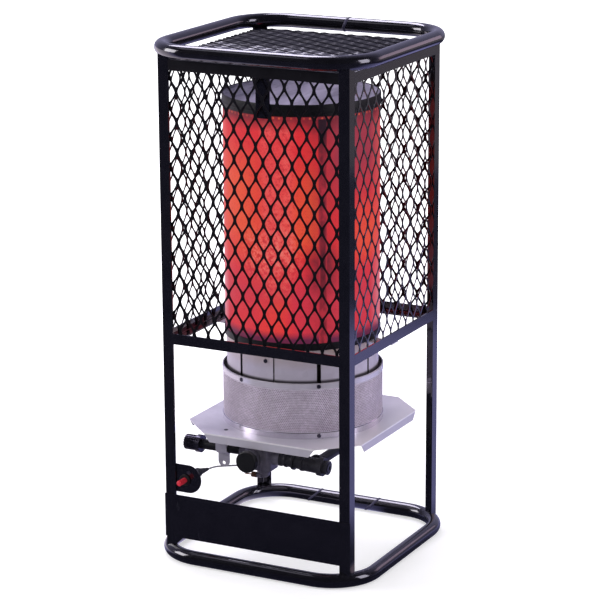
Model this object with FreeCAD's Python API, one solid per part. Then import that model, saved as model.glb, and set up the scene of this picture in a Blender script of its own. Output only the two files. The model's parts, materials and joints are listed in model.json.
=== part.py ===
"""A radiant gas heater: a glowing emitter cylinder over a burner, hung in a guard of angle bar and net.

Millimetres, +Z up, +X to the right and -Y to the front. The origin is on the floor, below the middle of
the heater. Each piece is written to parts/NODE.step.
"""

import FreeCAD, Part
import math
import os

from FreeCAD import Rotation, Vector

# Guard frame
WIDTH = 400.0
HEIGHT = 879.0
TUBE_D = 24.0
FOOT_FLAT = 0.3
POST_INSET = 28.0
POST_PROUD = 6.85
POST_LEG = 19.0
RAIL_LEG = 18.0
ANGLE_T = 3.0
ANGLE_ROOT = 2.0
RING_SLIT = 2.0
LOWER_RAIL_Z = 375.0
PANEL_Z = 37.0
PANEL_HEIGHT = 76.0
PANEL_LAP = 1.5
PANEL_T = 1.5
PANEL_GUSSET = 13.0

# Nets
NET_T = 2.0
NET_SHORT = 39.0
NET_LONG = 75.0
NET_STRAND = 4.0
NET_BORDER = 7.0
NET_GAP = 1.0

# Emitter and burner can
EMITTER_D = 260.0
EMITTER_T = 1.0
EMITTER_LIFT = 1.0
EMITTER_TOP_GAP = 75.0
RIM_LOW = 12.0
RIM_HIGH = 16.0
RIM_T = 1.5
RIM_LAP = 4.0
CAP_T = 1.5
CAP_DISH = 4.0
CAP_DISH_D = 200.0
SEAM_WIDTH = 14.0
SEAM_T = 1.0
SEAM_AZIMUTH = 42.0
CAN_INSET = 2.0
CAN_T = 1.0
CAN_FLANGE = 5.0
CAN_CLEARANCE = 0.2
CAN_SLOTS = ((-25.6, 6.0), (5.2, 2.5), (39.0, 7.0), (85.2, 5.0))
CAN_SLOT_MARGIN = 14.0
CAN_SCREW_AZIMUTHS = (-1.5, 42.3)
CAN_SCREW_DROP = 22.0
SCREEN_STANDOFF = 7.0
SCREEN_T = 1.0
SCREEN_HEIGHT = 95.0
SCREEN_BAND = 10.5
SCREEN_BAND_PROUD = 1.2
SCREEN_SEAM_AZIMUTH = 38.2
SCREEN_SCREW_AZIMUTH = -21.3

# Straps and brackets that carry the burner
STRAP_WIDTH = 25.0
STRAP_T = 2.5
STRAP_X = -2.0
STRAP_FOOT = 11.0
BRACKET_T = 2.0
BRACKET_DROP = 24.0

# Base plate
PLATE_Z = 226.0
PLATE_T = 1.2
PLATE_GAP_X = 10.0
PLATE_GAP_Y = 9.0
PLATE_CHAMFER_X = 58.5
PLATE_CHAMFER_Y = 56.0
PLATE_FLANGE = 15.0
PLATE_END_CUT = 11.5
AIR_HOLE_D = 44.0

# Burner
VENTURI_THROAT_D = 26.0
VENTURI_MOUTH_D = 44.0
VENTURI_TOP_D = 40.0
VENTURI_T = 1.5
VENTURI_HEIGHT = 76.0
VENTURI_COLLAR = 8.0
VENTURI_FLANGE_D = 84.0
HEAD_D = 100.0
HEAD_HEIGHT = 36.0
HEAD_T = 2.0
HEAD_PORTS = 16
HEAD_PORT = 5.0
HEAD_PORT_HEIGHT = 12.0
HEAD_PORT_Z = 14.0
ELECTRODE_XY = (-50.0, -40.0)
ELECTRODE_D = 2.5
ELECTRODE_LEAN = 8.0
ELECTRODE_RISE = 14.0
INSULATOR_D = 10.0
INSULATOR_BELOW = 20.0
INSULATOR_ABOVE = 26.0
INSULATOR_COLLAR_D = 16.0
INSULATOR_COLLAR = 3.5
PROBE_XY = (-20.0, -62.0)
PROBE_D = 4.4
PROBE_HEIGHT = 118.0
PROBE_BELOW = 8.0
PROBE_FERRULE = 9.0
PROBE_COLLAR_D = 13.5
PROBE_COLLAR = 2.2

# Gas train: the inlet's axis lies a little over the outlet's, and the outlet line droops
TRAIN_INSET = 32.0
TRAIN_DROP = 31.0
INLET_LIFT = 3.0
OUTLET_DROOP = 2.8
PIPE_D = 17.0
NUT_INSET = 23.5
NUT_D = 26.0
NUT_COLLAR_D = 30.0
NUT_BARREL = 22.0
NUT_COLLAR_WIDTH = 8.2
NUT_FLUTES = 18
NUT_FLUTE_D = 3.0
NUT_THREAD_D = 21.0
NUT_THREAD = 16.0
NUT_FLOOR = 6.0
PIPE_COLLAR_D = 18.8
PIPE_COLLAR = 5.0
PIPE_COLLAR_CLEARANCE = 0.3
PIPE_BORE_D = 9.0
RUN_CLEARANCE = 0.05
END_CLEARANCE = 0.3
CLIP_X = -77.0
CLIP_WIDTH = 21.0
CLIP_T = 2.0
CLIP_TAB = 34.4
CLIP_HOLE_D = 6.0
CLIP_HOLE_DROP = 27.0
CLIP_FOOT = 25.0
CLIP_SCREW = 18.5
VALVE_X = -30.0
VALVE_LENGTH = 48.0
VALVE_DEPTH = 36.0
VALVE_BELOW = 22.0
VALVE_ABOVE = 18.0
VALVE_ROUND = 8.0
VALVE_BOSS_D = 26.0
VALVE_BOSS_IN = 12.0
VALVE_BOSS_OUT = 12.6
VALVE_BOSS_BURIED = 2.0
VALVE_RIB = 3.0
VALVE_RIB_PROUD = 2.5
CUP_FROM_INLET = 28.5
CUP_D = 19.0
CUP_CHAMFER = 3.0
CUP_HEIGHT = 9.0
CUP_NECK_D = 24.0
CUP_NECK = 6.0
CUP_PORT_D = 7.2
STEM_FROM_INLET = 17.2
STEM_LIFT = -1.6
STEM_D = 8.0
STEM_FLAT = 2.6
BONNET_D = 28.0
BONNET_LENGTH = 9.0
PLUG_D = 18.0
PLUG_DEPTH = 4.0
PLUG_LENGTH = 13.0
PLUG_SOCKET = 9.0
STEM_END_GAP = 1.0
KNOB_D = 36.3
KNOB_T = 12.0
KNOB_EDGE = 1.5
KNOB_GAP = 6.0
KNOB_SOCKET = 8.0
KNOB_PUSH = 4.0
COUPLING_LENGTH = 27.4
COUPLING_D = 23.5
COUPLING_RING_D = 26.0
COUPLING_RING_STEP = 9.6
COUPLING_BEAD_D = 29.4
BEAD = 4.0
NIPPLE_D = 24.0
NIPPLE_LENGTH = 12.0
TEE_LENGTH = 40.0
TEE_D = 25.5
TEE_RING_D = 27.5
TEE_BEAD_D = 31.0
TEE_BEAD = 9.0
TEE_BRANCH = 15.0
TEE_BRANCH_D = 23.0
TEE_NECK_D = 22.4
TEE_NECK = 3.5
TEE_COLLAR_D = 23.6
TEE_COLLAR = 5.0
TEE_PLUG = 3.0
TEE_PLUG_PROUD = 1.5
TEE_PLUG_D = 16.0
TEE_PLUG_RECESS = 6.4
FEED_BEND = 26.0
INJECTOR_ELBOW_D = 22.0
INJECTOR_HEX = 16.0
INJECTOR_HEX_HEIGHT = 8.0
INJECTOR_TIP_D = 9.0
INJECTOR_TIP = 10.0
ORIFICE_D = 1.6

# Igniter
IGNITER_PLATE_T = 2.0
IGNITER_PLATE_INSET = 5.0
IGNITER_PLATE_REACH = 36.5
IGNITER_PLATE_Z = 142.0
IGNITER_PLATE_R = 24.5
IGNITER_OFFSET = (-5.5, -2.0)
IGNITER_SCREW_OFFSET = (1.5, 11.5)
IGNITER_D = 16.0
IGNITER_LENGTH = 45.0
IGNITER_FLANGE_D = 20.0
IGNITER_FLANGE = 2.5
IGNITER_NUT = 22.0
IGNITER_NUT_T = 4.0
BUTTON_D = 9.5
BUTTON_EDGE = 1.5
BUTTON_PROUD = 20.0
BUTTON_TRAVEL = 6.0
BUTTON_INSIDE = 8.0
BUTTON_STOP_D = 12.0
BUTTON_STOP = 3.0
BUTTON_LIP = 1.0
BOOT_BASE_D = 13.0
BOOT_TIP_D = 5.0

# Leads that run between two housings: their routes are points chosen by eye
LEAD_D = 3.0
LEAD_ROUTE = (
    (-134.0, -95.0, 137.0),
    (-134.2, -68.0, 133.5),
    (-110.0, -38.0, 130.0),
    (-80.0, -30.0, 132.0),
    (-58.0, -34.0, 145.0),
    (-50.0, -38.0, 168.0),
    (-50.0, -40.0, 190.0),
    (-50.0, -40.0, 204.8),
)
PROBE_LEAD_D = 2.0
PROBE_PORT = (-18.5, -8.0, -5.3)
PROBE_ROUTE = (
    (-38.0, -142.0, 158.0),
    (-44.0, -120.0, 156.0),
    (-36.0, -92.0, 163.0),
    (-24.0, -72.0, 181.0),
    (-20.0, -63.0, 203.0),
    (-20.0, -62.0, 216.8),
)
PROBE_NUT = 9.0
PROBE_NUT_ACROSS = 9.0

# Screws
SCREW_HEAD_D = 7.0
SCREW_HEAD = 2.2
SCREW_SHANK_D = 4.0
SCREW_SHANK = 5.0

RING_HALF = (WIDTH - TUBE_D) / 2
RING_BEND = (POST_INSET + POST_PROUD - TUBE_D / 2) / (1 - math.sqrt(0.5))
RING_LOW_Z = TUBE_D / 2 - FOOT_FLAT
RING_HIGH_Z = HEIGHT - TUBE_D / 2
POST_OUT = WIDTH / 2 - POST_INSET
POST_IN = POST_OUT - ANGLE_T
POST_EDGE = POST_OUT - POST_LEG
TOP_NET_Z = RING_HIGH_Z - TUBE_D / 2 - RING_SLIT
RAIL_TOP = TOP_NET_Z - NET_T
NET_PLANE = POST_IN
EMITTER_R = EMITTER_D / 2
EMITTER_Z = LOWER_RAIL_Z + EMITTER_LIFT
EMITTER_TOP = RAIL_TOP - EMITTER_TOP_GAP
RIM_R = EMITTER_R + RIM_T
CAN_R = EMITTER_R - CAN_INSET
CAN_TOP = EMITTER_Z + RIM_LAP
SCREEN_R = CAN_R + SCREEN_STANDOFF
BAND_R = SCREEN_R + SCREEN_BAND_PROUD
PLATE_BELOW = PLATE_Z - PLATE_T
PLATE_X = POST_OUT - PLATE_GAP_X
PLATE_Y = POST_OUT - PLATE_GAP_Y
TRAIN_Y = -(POST_OUT - TRAIN_INSET)
TRAIN_Z = PLATE_Z - TRAIN_DROP
INLET_Z = TRAIN_Z + INLET_LIFT
NUT_X = -(POST_OUT - NUT_INSET)
NUT_COLLAR_X = NUT_X + NUT_BARREL
NUT_LENGTH = NUT_BARREL + NUT_COLLAR_WIDTH
VALVE_END = VALVE_X + VALVE_LENGTH
VALVE_LOW = TRAIN_Z - VALVE_BELOW
VALVE_HIGH = TRAIN_Z + VALVE_ABOVE
CUP_X = VALVE_X + CUP_FROM_INLET
CUP_TOP = VALVE_LOW - CUP_NECK
PROBE_SEAT = (CUP_X + PROBE_PORT[0], TRAIN_Y + PROBE_PORT[1], CUP_TOP + PROBE_PORT[2])
STEM_X = VALVE_X + STEM_FROM_INLET
STEM_Z = TRAIN_Z + STEM_LIFT
COUPLING_X = VALVE_END + VALVE_BOSS_OUT
NIPPLE_X = COUPLING_X + COUPLING_LENGTH
TEE_X = NIPPLE_X + NIPPLE_LENGTH
TEE_NECK_X = TEE_X + TEE_LENGTH
TEE_END = TEE_NECK_X + TEE_NECK + TEE_COLLAR
TEE_BRANCH_X = TEE_X + TEE_LENGTH / 2
FEED_X = VALVE_END + (TEE_BRANCH_X - VALVE_END) * math.cos(math.radians(OUTLET_DROOP))
FEED_Z = TRAIN_Z - (TEE_BRANCH_X - VALVE_END) * math.sin(math.radians(OUTLET_DROOP))
VALVE_FRONT = TRAIN_Y - VALVE_DEPTH / 2
BONNET_FRONT = VALVE_FRONT - BONNET_LENGTH
KNOB_BACK = BONNET_FRONT - KNOB_GAP
KNOB_FRONT = KNOB_BACK - KNOB_T
PLUG_FRONT = VALVE_FRONT + PLUG_DEPTH
IGNITER_FRONT = -POST_IN
IGNITER_BACK = IGNITER_FRONT + IGNITER_PLATE_T
IGNITER_PLATE_X = -POST_OUT + IGNITER_PLATE_INSET
IGNITER_PLATE_CENTRE_X = IGNITER_PLATE_X + IGNITER_PLATE_REACH
IGNITER_X = IGNITER_PLATE_CENTRE_X + IGNITER_OFFSET[0]
IGNITER_Z = IGNITER_PLATE_Z + IGNITER_OFFSET[1]
IGNITER_FLANGE_FRONT = IGNITER_FRONT - IGNITER_FLANGE
IGNITER_CHAMBER = IGNITER_FRONT + BUTTON_LIP

X_AXIS = Vector(1, 0, 0)
Y_AXIS = Vector(0, 1, 0)
Z_AXIS = Vector(0, 0, 1)
ORIGIN = Vector(0, 0, 0)


def save(name, shape):
    """Write one piece and print what it weighs in as a volume."""
    shape.exportStep("parts/" + name + ".step")
    state = "valid" if shape.isValid() else "BAD"
    print(name, len(shape.Solids), "solids", round(shape.Volume), "mm3", state)


def box(x0, y0, z0, x1, y1, z1):
    """A block between two corners."""
    return Part.makeBox(x1 - x0, y1 - y0, z1 - z0, Vector(x0, y0, z0))


def rod(diameter, length, start, direction):
    """A round bar."""
    return Part.makeCylinder(diameter / 2, length, Vector(*start), direction)


def prism(points, direction):
    """A closed outline pushed along a direction."""
    corners = [Vector(*point) for point in points]
    return Part.Face(Part.makePolygon(corners + corners[:1])).extrude(direction)


def turned(points):
    """A closed outline of (radius, z) points turned about Z."""
    corners = [Vector(radius, 0, z) for radius, z in points]
    return Part.Face(Part.makePolygon(corners + corners[:1])).revolve(ORIGIN, Z_AXIS, 360)


def sleeve(outer, inner, z0, z1):
    """An upright tube given by its two radii."""
    return turned(((inner, z0), (outer, z0), (outer, z1), (inner, z1)))


def hexagon(across, length, start, direction):
    """A hexagon bar given by its width across flats."""
    radius = across / math.sqrt(3)
    corners = []
    for side in range(7):
        turn = math.radians(60 * side)
        corners.append(Vector(radius * math.cos(turn), radius * math.sin(turn), 0))
    bar = Part.Face(Part.makePolygon(corners)).extrude(Vector(0, 0, length))
    bar.Placement = FreeCAD.Placement(Vector(*start), Rotation(Z_AXIS, direction))
    return bar


def join(shapes):
    """Weld pieces that touch into one solid."""
    return shapes[0].fuse(shapes[1:]).removeSplitter()


def turned_copies(shape, turns=(0, 90, 180, 270)):
    """Copies of a piece turned about the heater's axis, by quarters unless other turns are given."""
    copies = []
    for angle in turns:
        copy = shape.copy()
        copy.rotate(ORIGIN, Z_AXIS, angle)
        copies.append(copy)
    return copies


def around(azimuth, radius, z):
    """A point at an azimuth from the front towards +X."""
    turn = math.radians(azimuth)
    return Vector(radius * math.sin(turn), -radius * math.cos(turn), z)


def screw(seat, outward):
    """A pan head on its seat, with the shank going in."""
    head = Part.makeCylinder(SCREW_HEAD_D / 2, SCREW_HEAD, seat, outward)
    shank = Part.makeCylinder(SCREW_SHANK_D / 2, SCREW_SHANK, seat, outward * -1)
    return join([head, shank])


def screw_hole(seat, outward):
    """The hole that a screw's shank fills, through whatever it joins."""
    start = seat + outward * SCREW_HEAD
    return Part.makeCylinder(SCREW_SHANK_D / 2, SCREW_SHANK + 2 * SCREW_HEAD, start, outward * -1)


def tube_section(z, flat):
    """The section of a ring's front bar: round, its underside flattened where it stands on the floor."""
    radius = TUBE_D / 2
    centre = Vector(0, -RING_HALF, z)
    if not flat:
        return Part.Face(Part.Wire(Part.Circle(centre, X_AXIS, radius).toShape()))
    half = math.sqrt(radius ** 2 - (radius - flat) ** 2)
    left = centre + Vector(0, -half, flat - radius)
    right = centre + Vector(0, half, flat - radius)
    arc = Part.Arc(left, centre + Vector(0, 0, radius), right).toShape()
    return Part.Face(Part.Wire([arc, Part.LineSegment(right, left).toShape()]))


def ring(z, flat=0.0):
    """A square ring of one round tube with bent corners."""
    centre = RING_HALF - RING_BEND
    section = tube_section(z, flat)
    section.translate(Vector(-centre, 0, 0))
    side = section.extrude(Vector(2 * centre, 0, 0))
    section.translate(Vector(2 * centre, 0, 0))
    bend = section.revolve(Vector(centre, -centre, z), Z_AXIS, 90)
    pieces = turned_copies(side) + turned_copies(bend)
    return pieces[0].fuse(pieces[1:])


def angle_bar(leg, length):
    """Equal angle standing on the floor plane, its corner on the origin and its legs along +X and +Y."""
    root = ANGLE_T + ANGLE_ROOT
    slack = ANGLE_ROOT * (1 - math.sqrt(0.5))
    inner = ANGLE_T + slack
    outline = [
        Part.LineSegment(Vector(ANGLE_T, root, 0), Vector(ANGLE_T, leg, 0)),
        Part.LineSegment(Vector(ANGLE_T, leg, 0), Vector(0, leg, 0)),
        Part.LineSegment(Vector(0, leg, 0), ORIGIN),
        Part.LineSegment(ORIGIN, Vector(leg, 0, 0)),
        Part.LineSegment(Vector(leg, 0, 0), Vector(leg, ANGLE_T, 0)),
        Part.LineSegment(Vector(leg, ANGLE_T, 0), Vector(root, ANGLE_T, 0)),
        Part.Arc(Vector(root, ANGLE_T, 0), Vector(inner, inner, 0), Vector(ANGLE_T, root, 0)),
    ]
    wire = Part.Wire([edge.toShape() for edge in outline])
    return Part.Face(wire).extrude(Vector(0, 0, length))


def post_bar():
    """The front left post's full bar, from one ring's middle to the other's."""
    bar = angle_bar(POST_LEG, RING_HIGH_Z - RING_LOW_Z)
    bar.translate(Vector(-POST_OUT, -POST_OUT, RING_LOW_Z))
    return bar


def posts(rings):
    """Four posts, coped at both ends to stand on and carry the tube rings."""
    first = post_bar().cut(rings)
    return turned_copies(first)


def rails(outer_z, downward):
    """Four angle rails between the posts, coped to them and mitred to each other."""
    bar = angle_bar(RAIL_LEG, 2 * POST_OUT)
    bar.rotate(ORIGIN, Y_AXIS, 90)
    if not downward:
        bar.rotate(ORIGIN, X_AXIS, 90)
        bar = bar.mirror(ORIGIN, Z_AXIS)
        bar.rotate(ORIGIN, X_AXIS, 90)
    bar.translate(Vector(-POST_OUT, -POST_OUT, outer_z))
    flat = Vector(0, 0, 2 * RAIL_LEG)
    low = outer_z - RAIL_LEG
    mitre = prism(((-POST_OUT, -POST_OUT, low), (POST_OUT, -POST_OUT, low), (0, 0, low)), flat)
    first = bar.common(mitre).cut(turned_copies(post_bar(), (0, 90)))
    return turned_copies(first)


def front_panel():
    """The blank sheet across the front feet, with a gusset at its lower left end."""
    half = POST_OUT + PANEL_LAP
    top = PANEL_Z + PANEL_HEIGHT
    y = -POST_OUT - PANEL_T
    outline = (
        (-half, y, PANEL_Z),
        (-POST_EDGE, y, PANEL_Z),
        (-POST_EDGE, y, PANEL_Z - PANEL_GUSSET),
        (-POST_EDGE + PANEL_GUSSET, y, PANEL_Z),
        (half, y, PANEL_Z),
        (half, y, top),
        (-half, y, top),
    )
    return prism(outline, Vector(0, PANEL_T, 0))


def clipped(points, limit_u, limit_v):
    """A convex outline cut off at a rectangle's four sides."""
    for axis, sign, limit in ((0, 1, limit_u), (0, -1, limit_u), (1, 1, limit_v), (1, -1, limit_v)):
        kept = []
        for index, here in enumerate(points):
            before = points[index - 1]
            a = limit - sign * before[axis]
            b = limit - sign * here[axis]
            if a * b < 0:
                part = a / (a - b)
                kept.append(tuple(p + (q - p) * part for p, q in zip(before, here)))
            if b >= 0:
                kept.append(here)
        points = kept
    return points


def area(points):
    """The area inside an outline."""
    total = 0.0
    for index, (u, v) in enumerate(points):
        total += points[index - 1][0] * v - u * points[index - 1][1]
    return abs(total) / 2


def net_sheet(half_u, half_v, outline):
    """Expanded metal lying in XY with its long way along Y: one sheet with a lattice of diamond gaps."""
    limit_u = half_u - NET_BORDER
    limit_v = half_v - NET_BORDER
    inset = NET_STRAND / 2 * math.hypot(2 / NET_SHORT, 2 / NET_LONG)
    gap_u = NET_SHORT / 2 * (1 - inset)
    gap_v = NET_LONG / 2 * (1 - inset)
    wires = [Part.makePolygon([Vector(u, v, 0) for u, v in outline + outline[:1]])]
    rows = math.ceil(limit_v / NET_LONG) * 2
    columns = math.ceil(limit_u / NET_SHORT)
    for row in range(-rows, rows + 1):
        for column in range(-columns, columns + 1):
            u = (column + row % 2 / 2) * NET_SHORT
            v = row * NET_LONG / 2
            diamond = [(u - gap_u, v), (u, v - gap_v), (u + gap_u, v), (u, v + gap_v)]
            gap = clipped(diamond, limit_u, limit_v)
            if len(gap) > 2 and area(gap) > NET_STRAND ** 2:
                clockwise = [Vector(a, b, 0) for a, b in gap[::-1]]
                wires.append(Part.makePolygon(clockwise + clockwise[:1]))
    return Part.Face(wires).extrude(Vector(0, 0, NET_T))


def side_nets():
    """Four nets standing inside the posts and rails, long way up."""
    half_u = NET_PLANE - NET_T - NET_GAP
    low = LOWER_RAIL_Z + ANGLE_T + ANGLE_ROOT
    high = RAIL_TOP - ANGLE_T - ANGLE_ROOT
    half_v = (high - low) / 2
    outline = [(-half_u, -half_v), (half_u, -half_v), (half_u, half_v), (-half_u, half_v)]
    sheet = net_sheet(half_u, half_v, outline)
    sheet.rotate(ORIGIN, X_AXIS, 90)
    sheet.translate(Vector(0, -NET_PLANE + NET_T, (low + high) / 2))
    return turned_copies(sheet)


def top_net():
    """The net that lies on the top rails, notched round the posts, long way across."""
    half = POST_OUT - NET_GAP
    notch = POST_EDGE - NET_GAP
    outline = []
    for turn in range(4):
        angle = math.radians(90 * turn)
        cos, sin = math.cos(angle), math.sin(angle)
        for u, v in ((half, -notch), (half, notch), (notch, notch)):
            outline.append((u * cos - v * sin, u * sin + v * cos))
    limit = POST_EDGE + NET_BORDER - 2 * NET_GAP
    sheet = net_sheet(limit, limit, outline)
    sheet.rotate(ORIGIN, Z_AXIS, 90)
    sheet.translate(Vector(0, 0, RAIL_TOP))
    return sheet


def emitter_pieces():
    """The glowing cylinder, its two dark rims, its seam strip and its flat cap."""
    low = EMITTER_Z + RIM_LOW
    high = EMITTER_TOP - RIM_HIGH
    tube = sleeve(EMITTER_R, EMITTER_R - EMITTER_T, CAN_TOP, EMITTER_TOP - EMITTER_T)
    lower = sleeve(RIM_R, EMITTER_R, EMITTER_Z, low)
    inner = CAN_R + CAN_CLEARANCE
    ledge = sleeve(EMITTER_R, inner, EMITTER_Z, CAN_TOP)
    lower_rim = join([lower, ledge])
    upper_rim = sleeve(RIM_R, EMITTER_R, high, EMITTER_TOP)
    seam = strip(SEAM_AZIMUTH, SEAM_WIDTH, EMITTER_R, EMITTER_R + SEAM_T, low, high)
    dish = CAP_DISH_D / 2
    cap = turned((
        (0, EMITTER_TOP - CAP_DISH),
        (dish - CAP_DISH, EMITTER_TOP - CAP_DISH),
        (dish, EMITTER_TOP),
        (RIM_R, EMITTER_TOP),
        (RIM_R, EMITTER_TOP + CAP_T),
        (dish - CAP_T / 2, EMITTER_TOP + CAP_T),
        (dish - CAP_DISH - CAP_T / 2, EMITTER_TOP - CAP_DISH + CAP_T),
        (0, EMITTER_TOP - CAP_DISH + CAP_T),
    ))
    return tube, lower_rim, upper_rim, seam, cap


def strip(azimuth, width, inner, outer, z0, z1):
    """A narrow piece of an upright tube's wall at an azimuth."""
    half = math.degrees(width / 2 / outer)
    corners = [(inner, z0), (outer, z0), (outer, z1), (inner, z1), (inner, z0)]
    radial = Part.Face(Part.makePolygon([Vector(radius, 0, z) for radius, z in corners]))
    radial.rotate(ORIGIN, Z_AXIS, azimuth - 90 - half)
    return radial.revolve(ORIGIN, Z_AXIS, 2 * half)


def can_screw_seats():
    """Where the can's screws sit, round its upper end."""
    seats = []
    for azimuth in CAN_SCREW_AZIMUTHS:
        for turn in (0, 180):
            outward = around(azimuth + turn, 1, 0)
            seats.append((around(azimuth + turn, CAN_R, EMITTER_Z - CAN_SCREW_DROP), outward))
    return seats


def burner_can():
    """The galvanised can between the base plate and the emitter, with upright slots and a foot flange."""
    can = sleeve(CAN_R, CAN_R - CAN_T, PLATE_Z, CAN_TOP)
    foot = sleeve(CAN_R + CAN_FLANGE, CAN_R - CAN_T, PLATE_Z, PLATE_Z + CAN_T)
    slots = []
    low = PLATE_Z + CAN_SLOT_MARGIN
    high = EMITTER_Z - CAN_SLOT_MARGIN
    for azimuth, width in CAN_SLOTS:
        for turn in (0, 180):
            slot = box(-width / 2, -CAN_R - CAN_T, low, width / 2, -CAN_R + 3 * CAN_T, high)
            slot.rotate(ORIGIN, Z_AXIS, azimuth + turn)
            slots.append(slot)
    holes = [screw_hole(seat, outward) for seat, outward in can_screw_seats()]
    return join([can, foot]).cut(slots + holes)


def screen_screw_seats():
    """Where the air screen's screws sit, in its two bands."""
    high = PLATE_Z + SCREEN_HEIGHT - SCREEN_BAND / 2
    low = PLATE_Z + SCREEN_BAND / 2
    places = ((SCREEN_SEAM_AZIMUTH, high), (SCREEN_SEAM_AZIMUTH, low), (SCREEN_SCREW_AZIMUTH, high))
    seats = []
    for azimuth, z in places:
        for turn in (0, 180):
            seats.append((around(azimuth + turn, BAND_R, z), around(azimuth + turn, 1, 0)))
    return seats


def air_screen():
    """The perforated sleeve round the can's foot, with a rolled band at each end."""
    inner = SCREEN_R - SCREEN_T
    top = PLATE_Z + SCREEN_HEIGHT
    step = SCREEN_BAND_PROUD
    wall = turned((
        (inner, PLATE_Z),
        (BAND_R, PLATE_Z),
        (BAND_R, PLATE_Z + SCREEN_BAND - step),
        (SCREEN_R, PLATE_Z + SCREEN_BAND),
        (SCREEN_R, top - SCREEN_BAND),
        (BAND_R, top - SCREEN_BAND + step),
        (BAND_R, top - step),
        (SCREEN_R, top),
        (inner, top),
    ))
    holes = [screw_hole(seat, outward) for seat, outward in screen_screw_seats()]
    return wall.cut(holes)


def strap():
    """The front strap from the top rail's flange down to the emitter's upper rim, hollowed to seat on it."""
    under = RAIL_TOP - ANGLE_T
    left = STRAP_X - STRAP_WIDTH / 2
    right = STRAP_X + STRAP_WIDTH / 2
    inner = -math.sqrt(RIM_R ** 2 - left ** 2)
    outer = inner - STRAP_T
    reach = POST_OUT - RAIL_LEG + STRAP_FOOT
    upright = box(left, outer, EMITTER_TOP - RIM_HIGH, right, inner, under)
    foot = box(left, -reach, under - STRAP_T, right, inner, under)
    rim = rod(2 * RIM_R, RIM_HIGH + CAP_T, (0, 0, EMITTER_TOP - RIM_HIGH), Z_AXIS)
    return join([upright, foot]).cut(rim)


def strap_screw_seats():
    """Screws up through the straps into the top rails' flanges."""
    y = -(POST_OUT - RAIL_LEG + STRAP_FOOT / 2)
    z = RAIL_TOP - ANGLE_T - STRAP_T
    return [(Vector(STRAP_X, y, z), Z_AXIS * -1), (Vector(-STRAP_X, -y, z), Z_AXIS * -1)]


def side_bracket():
    """The left bracket from under the lower rail's flange to the can, turned down along its wall."""
    half = STRAP_WIDTH / 2
    under = LOWER_RAIL_Z - BRACKET_T
    tail = box(-POST_OUT, -half, under, 0, half, LOWER_RAIL_Z)
    drop = strip(-90, STRAP_WIDTH, CAN_R, CAN_R + BRACKET_T, under - BRACKET_DROP, LOWER_RAIL_Z)
    can = rod(2 * CAN_R, LOWER_RAIL_Z, (0, 0, PLATE_Z), Z_AXIS)
    holes = [screw_hole(seat, outward) for seat, outward in bracket_screw_seats()]
    return join([tail.cut(can), drop]).cut(holes)


def bracket_screw_seats():
    """Screws up through the side brackets into the lower rails' flanges."""
    x = POST_OUT - RAIL_LEG / 2
    z = LOWER_RAIL_Z - BRACKET_T
    return [(Vector(-x, 0, z), Z_AXIS * -1), (Vector(x, 0, z), Z_AXIS * -1)]


def flange(end, y):
    """The turned down edge of the plate's front (y below 0) or rear, its own ends cut back."""
    low = PLATE_Z - PLATE_FLANGE
    short = end - PLATE_END_CUT
    outline = ((-end, y, PLATE_Z), (end, y, PLATE_Z), (short, y, low), (-short, y, low))
    return prism(outline, Vector(0, math.copysign(PLATE_T, -y), 0))


def base_plate():
    """The folded sheet under the burner, its four corners cut off and its four edges turned down."""
    x_end = PLATE_X - PLATE_CHAMFER_X
    y_end = PLATE_Y - PLATE_CHAMFER_Y
    quarter = [(x_end, -PLATE_Y), (PLATE_X, -y_end), (PLATE_X, y_end), (x_end, PLATE_Y)]
    outline = quarter + [(-x, -y) for x, y in quarter]
    sheet = prism([(x, y, PLATE_BELOW) for x, y in outline], Vector(0, 0, PLATE_T))
    pieces = [sheet, flange(x_end, -PLATE_Y), flange(x_end, PLATE_Y)]
    for side in (-PLATE_X, PLATE_X):
        edge = flange(y_end, side)
        edge.rotate(ORIGIN, Z_AXIS, -90)
        pieces.append(edge)
    drill = 4 * PLATE_T
    start = PLATE_Z - 2 * PLATE_T
    holes = [
        rod(AIR_HOLE_D, drill, (0, 0, start), Z_AXIS),
        rod(INSULATOR_D, drill, (*ELECTRODE_XY, start), Z_AXIS),
        rod(PROBE_FERRULE, drill, (*PROBE_XY, start), Z_AXIS),
    ]
    holes += [screw_hole(seat, outward) for seat, outward in plate_screw_seats()]
    return join(pieces).cut(holes)


def plate_screw_seats():
    """The screw down through the plate into the clip that hangs the gas train."""
    seat_y = clip_front() + CLIP_SCREW
    return [(Vector(CLIP_X, seat_y, PLATE_Z), Z_AXIS)]


def clip_front():
    """The front face of the clip that holds the inlet pipe."""
    return TRAIN_Y - PIPE_D / 2 - CLIP_T


def pipe_clip():
    """The strap that hangs the gas train: foot on the plate, saddle round the pipe, holed tab under it."""
    half = CLIP_WIDTH / 2
    left = CLIP_X - half
    right = CLIP_X + half
    front = clip_front()
    foot = box(left, front, PLATE_BELOW - CLIP_T, right, front + CLIP_FOOT, PLATE_BELOW)
    drop = box(left, front, INLET_Z, right, front + CLIP_T, PLATE_BELOW)
    saddle = rod(PIPE_D + 2 * CLIP_T, CLIP_WIDTH, (left, TRAIN_Y, INLET_Z), X_AXIS)
    tab_front = TRAIN_Y - CLIP_T / 2
    tab_z = INLET_Z - CLIP_TAB + half
    tab = box(left, tab_front, tab_z, right, tab_front + CLIP_T, INLET_Z)
    tab_end = rod(CLIP_WIDTH, CLIP_T, (CLIP_X, tab_front, tab_z), Y_AXIS)
    cuts = [
        rod(PIPE_D, 2 * CLIP_WIDTH, (left - half, TRAIN_Y, INLET_Z), X_AXIS),
        rod(CLIP_HOLE_D, 3 * CLIP_T, (CLIP_X, tab_front - CLIP_T, INLET_Z - CLIP_HOLE_DROP), Y_AXIS),
    ]
    cuts += [screw_hole(seat, outward) for seat, outward in plate_screw_seats()]
    return join([foot, drop, saddle, tab, tab_end]).cut(cuts)


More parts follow.
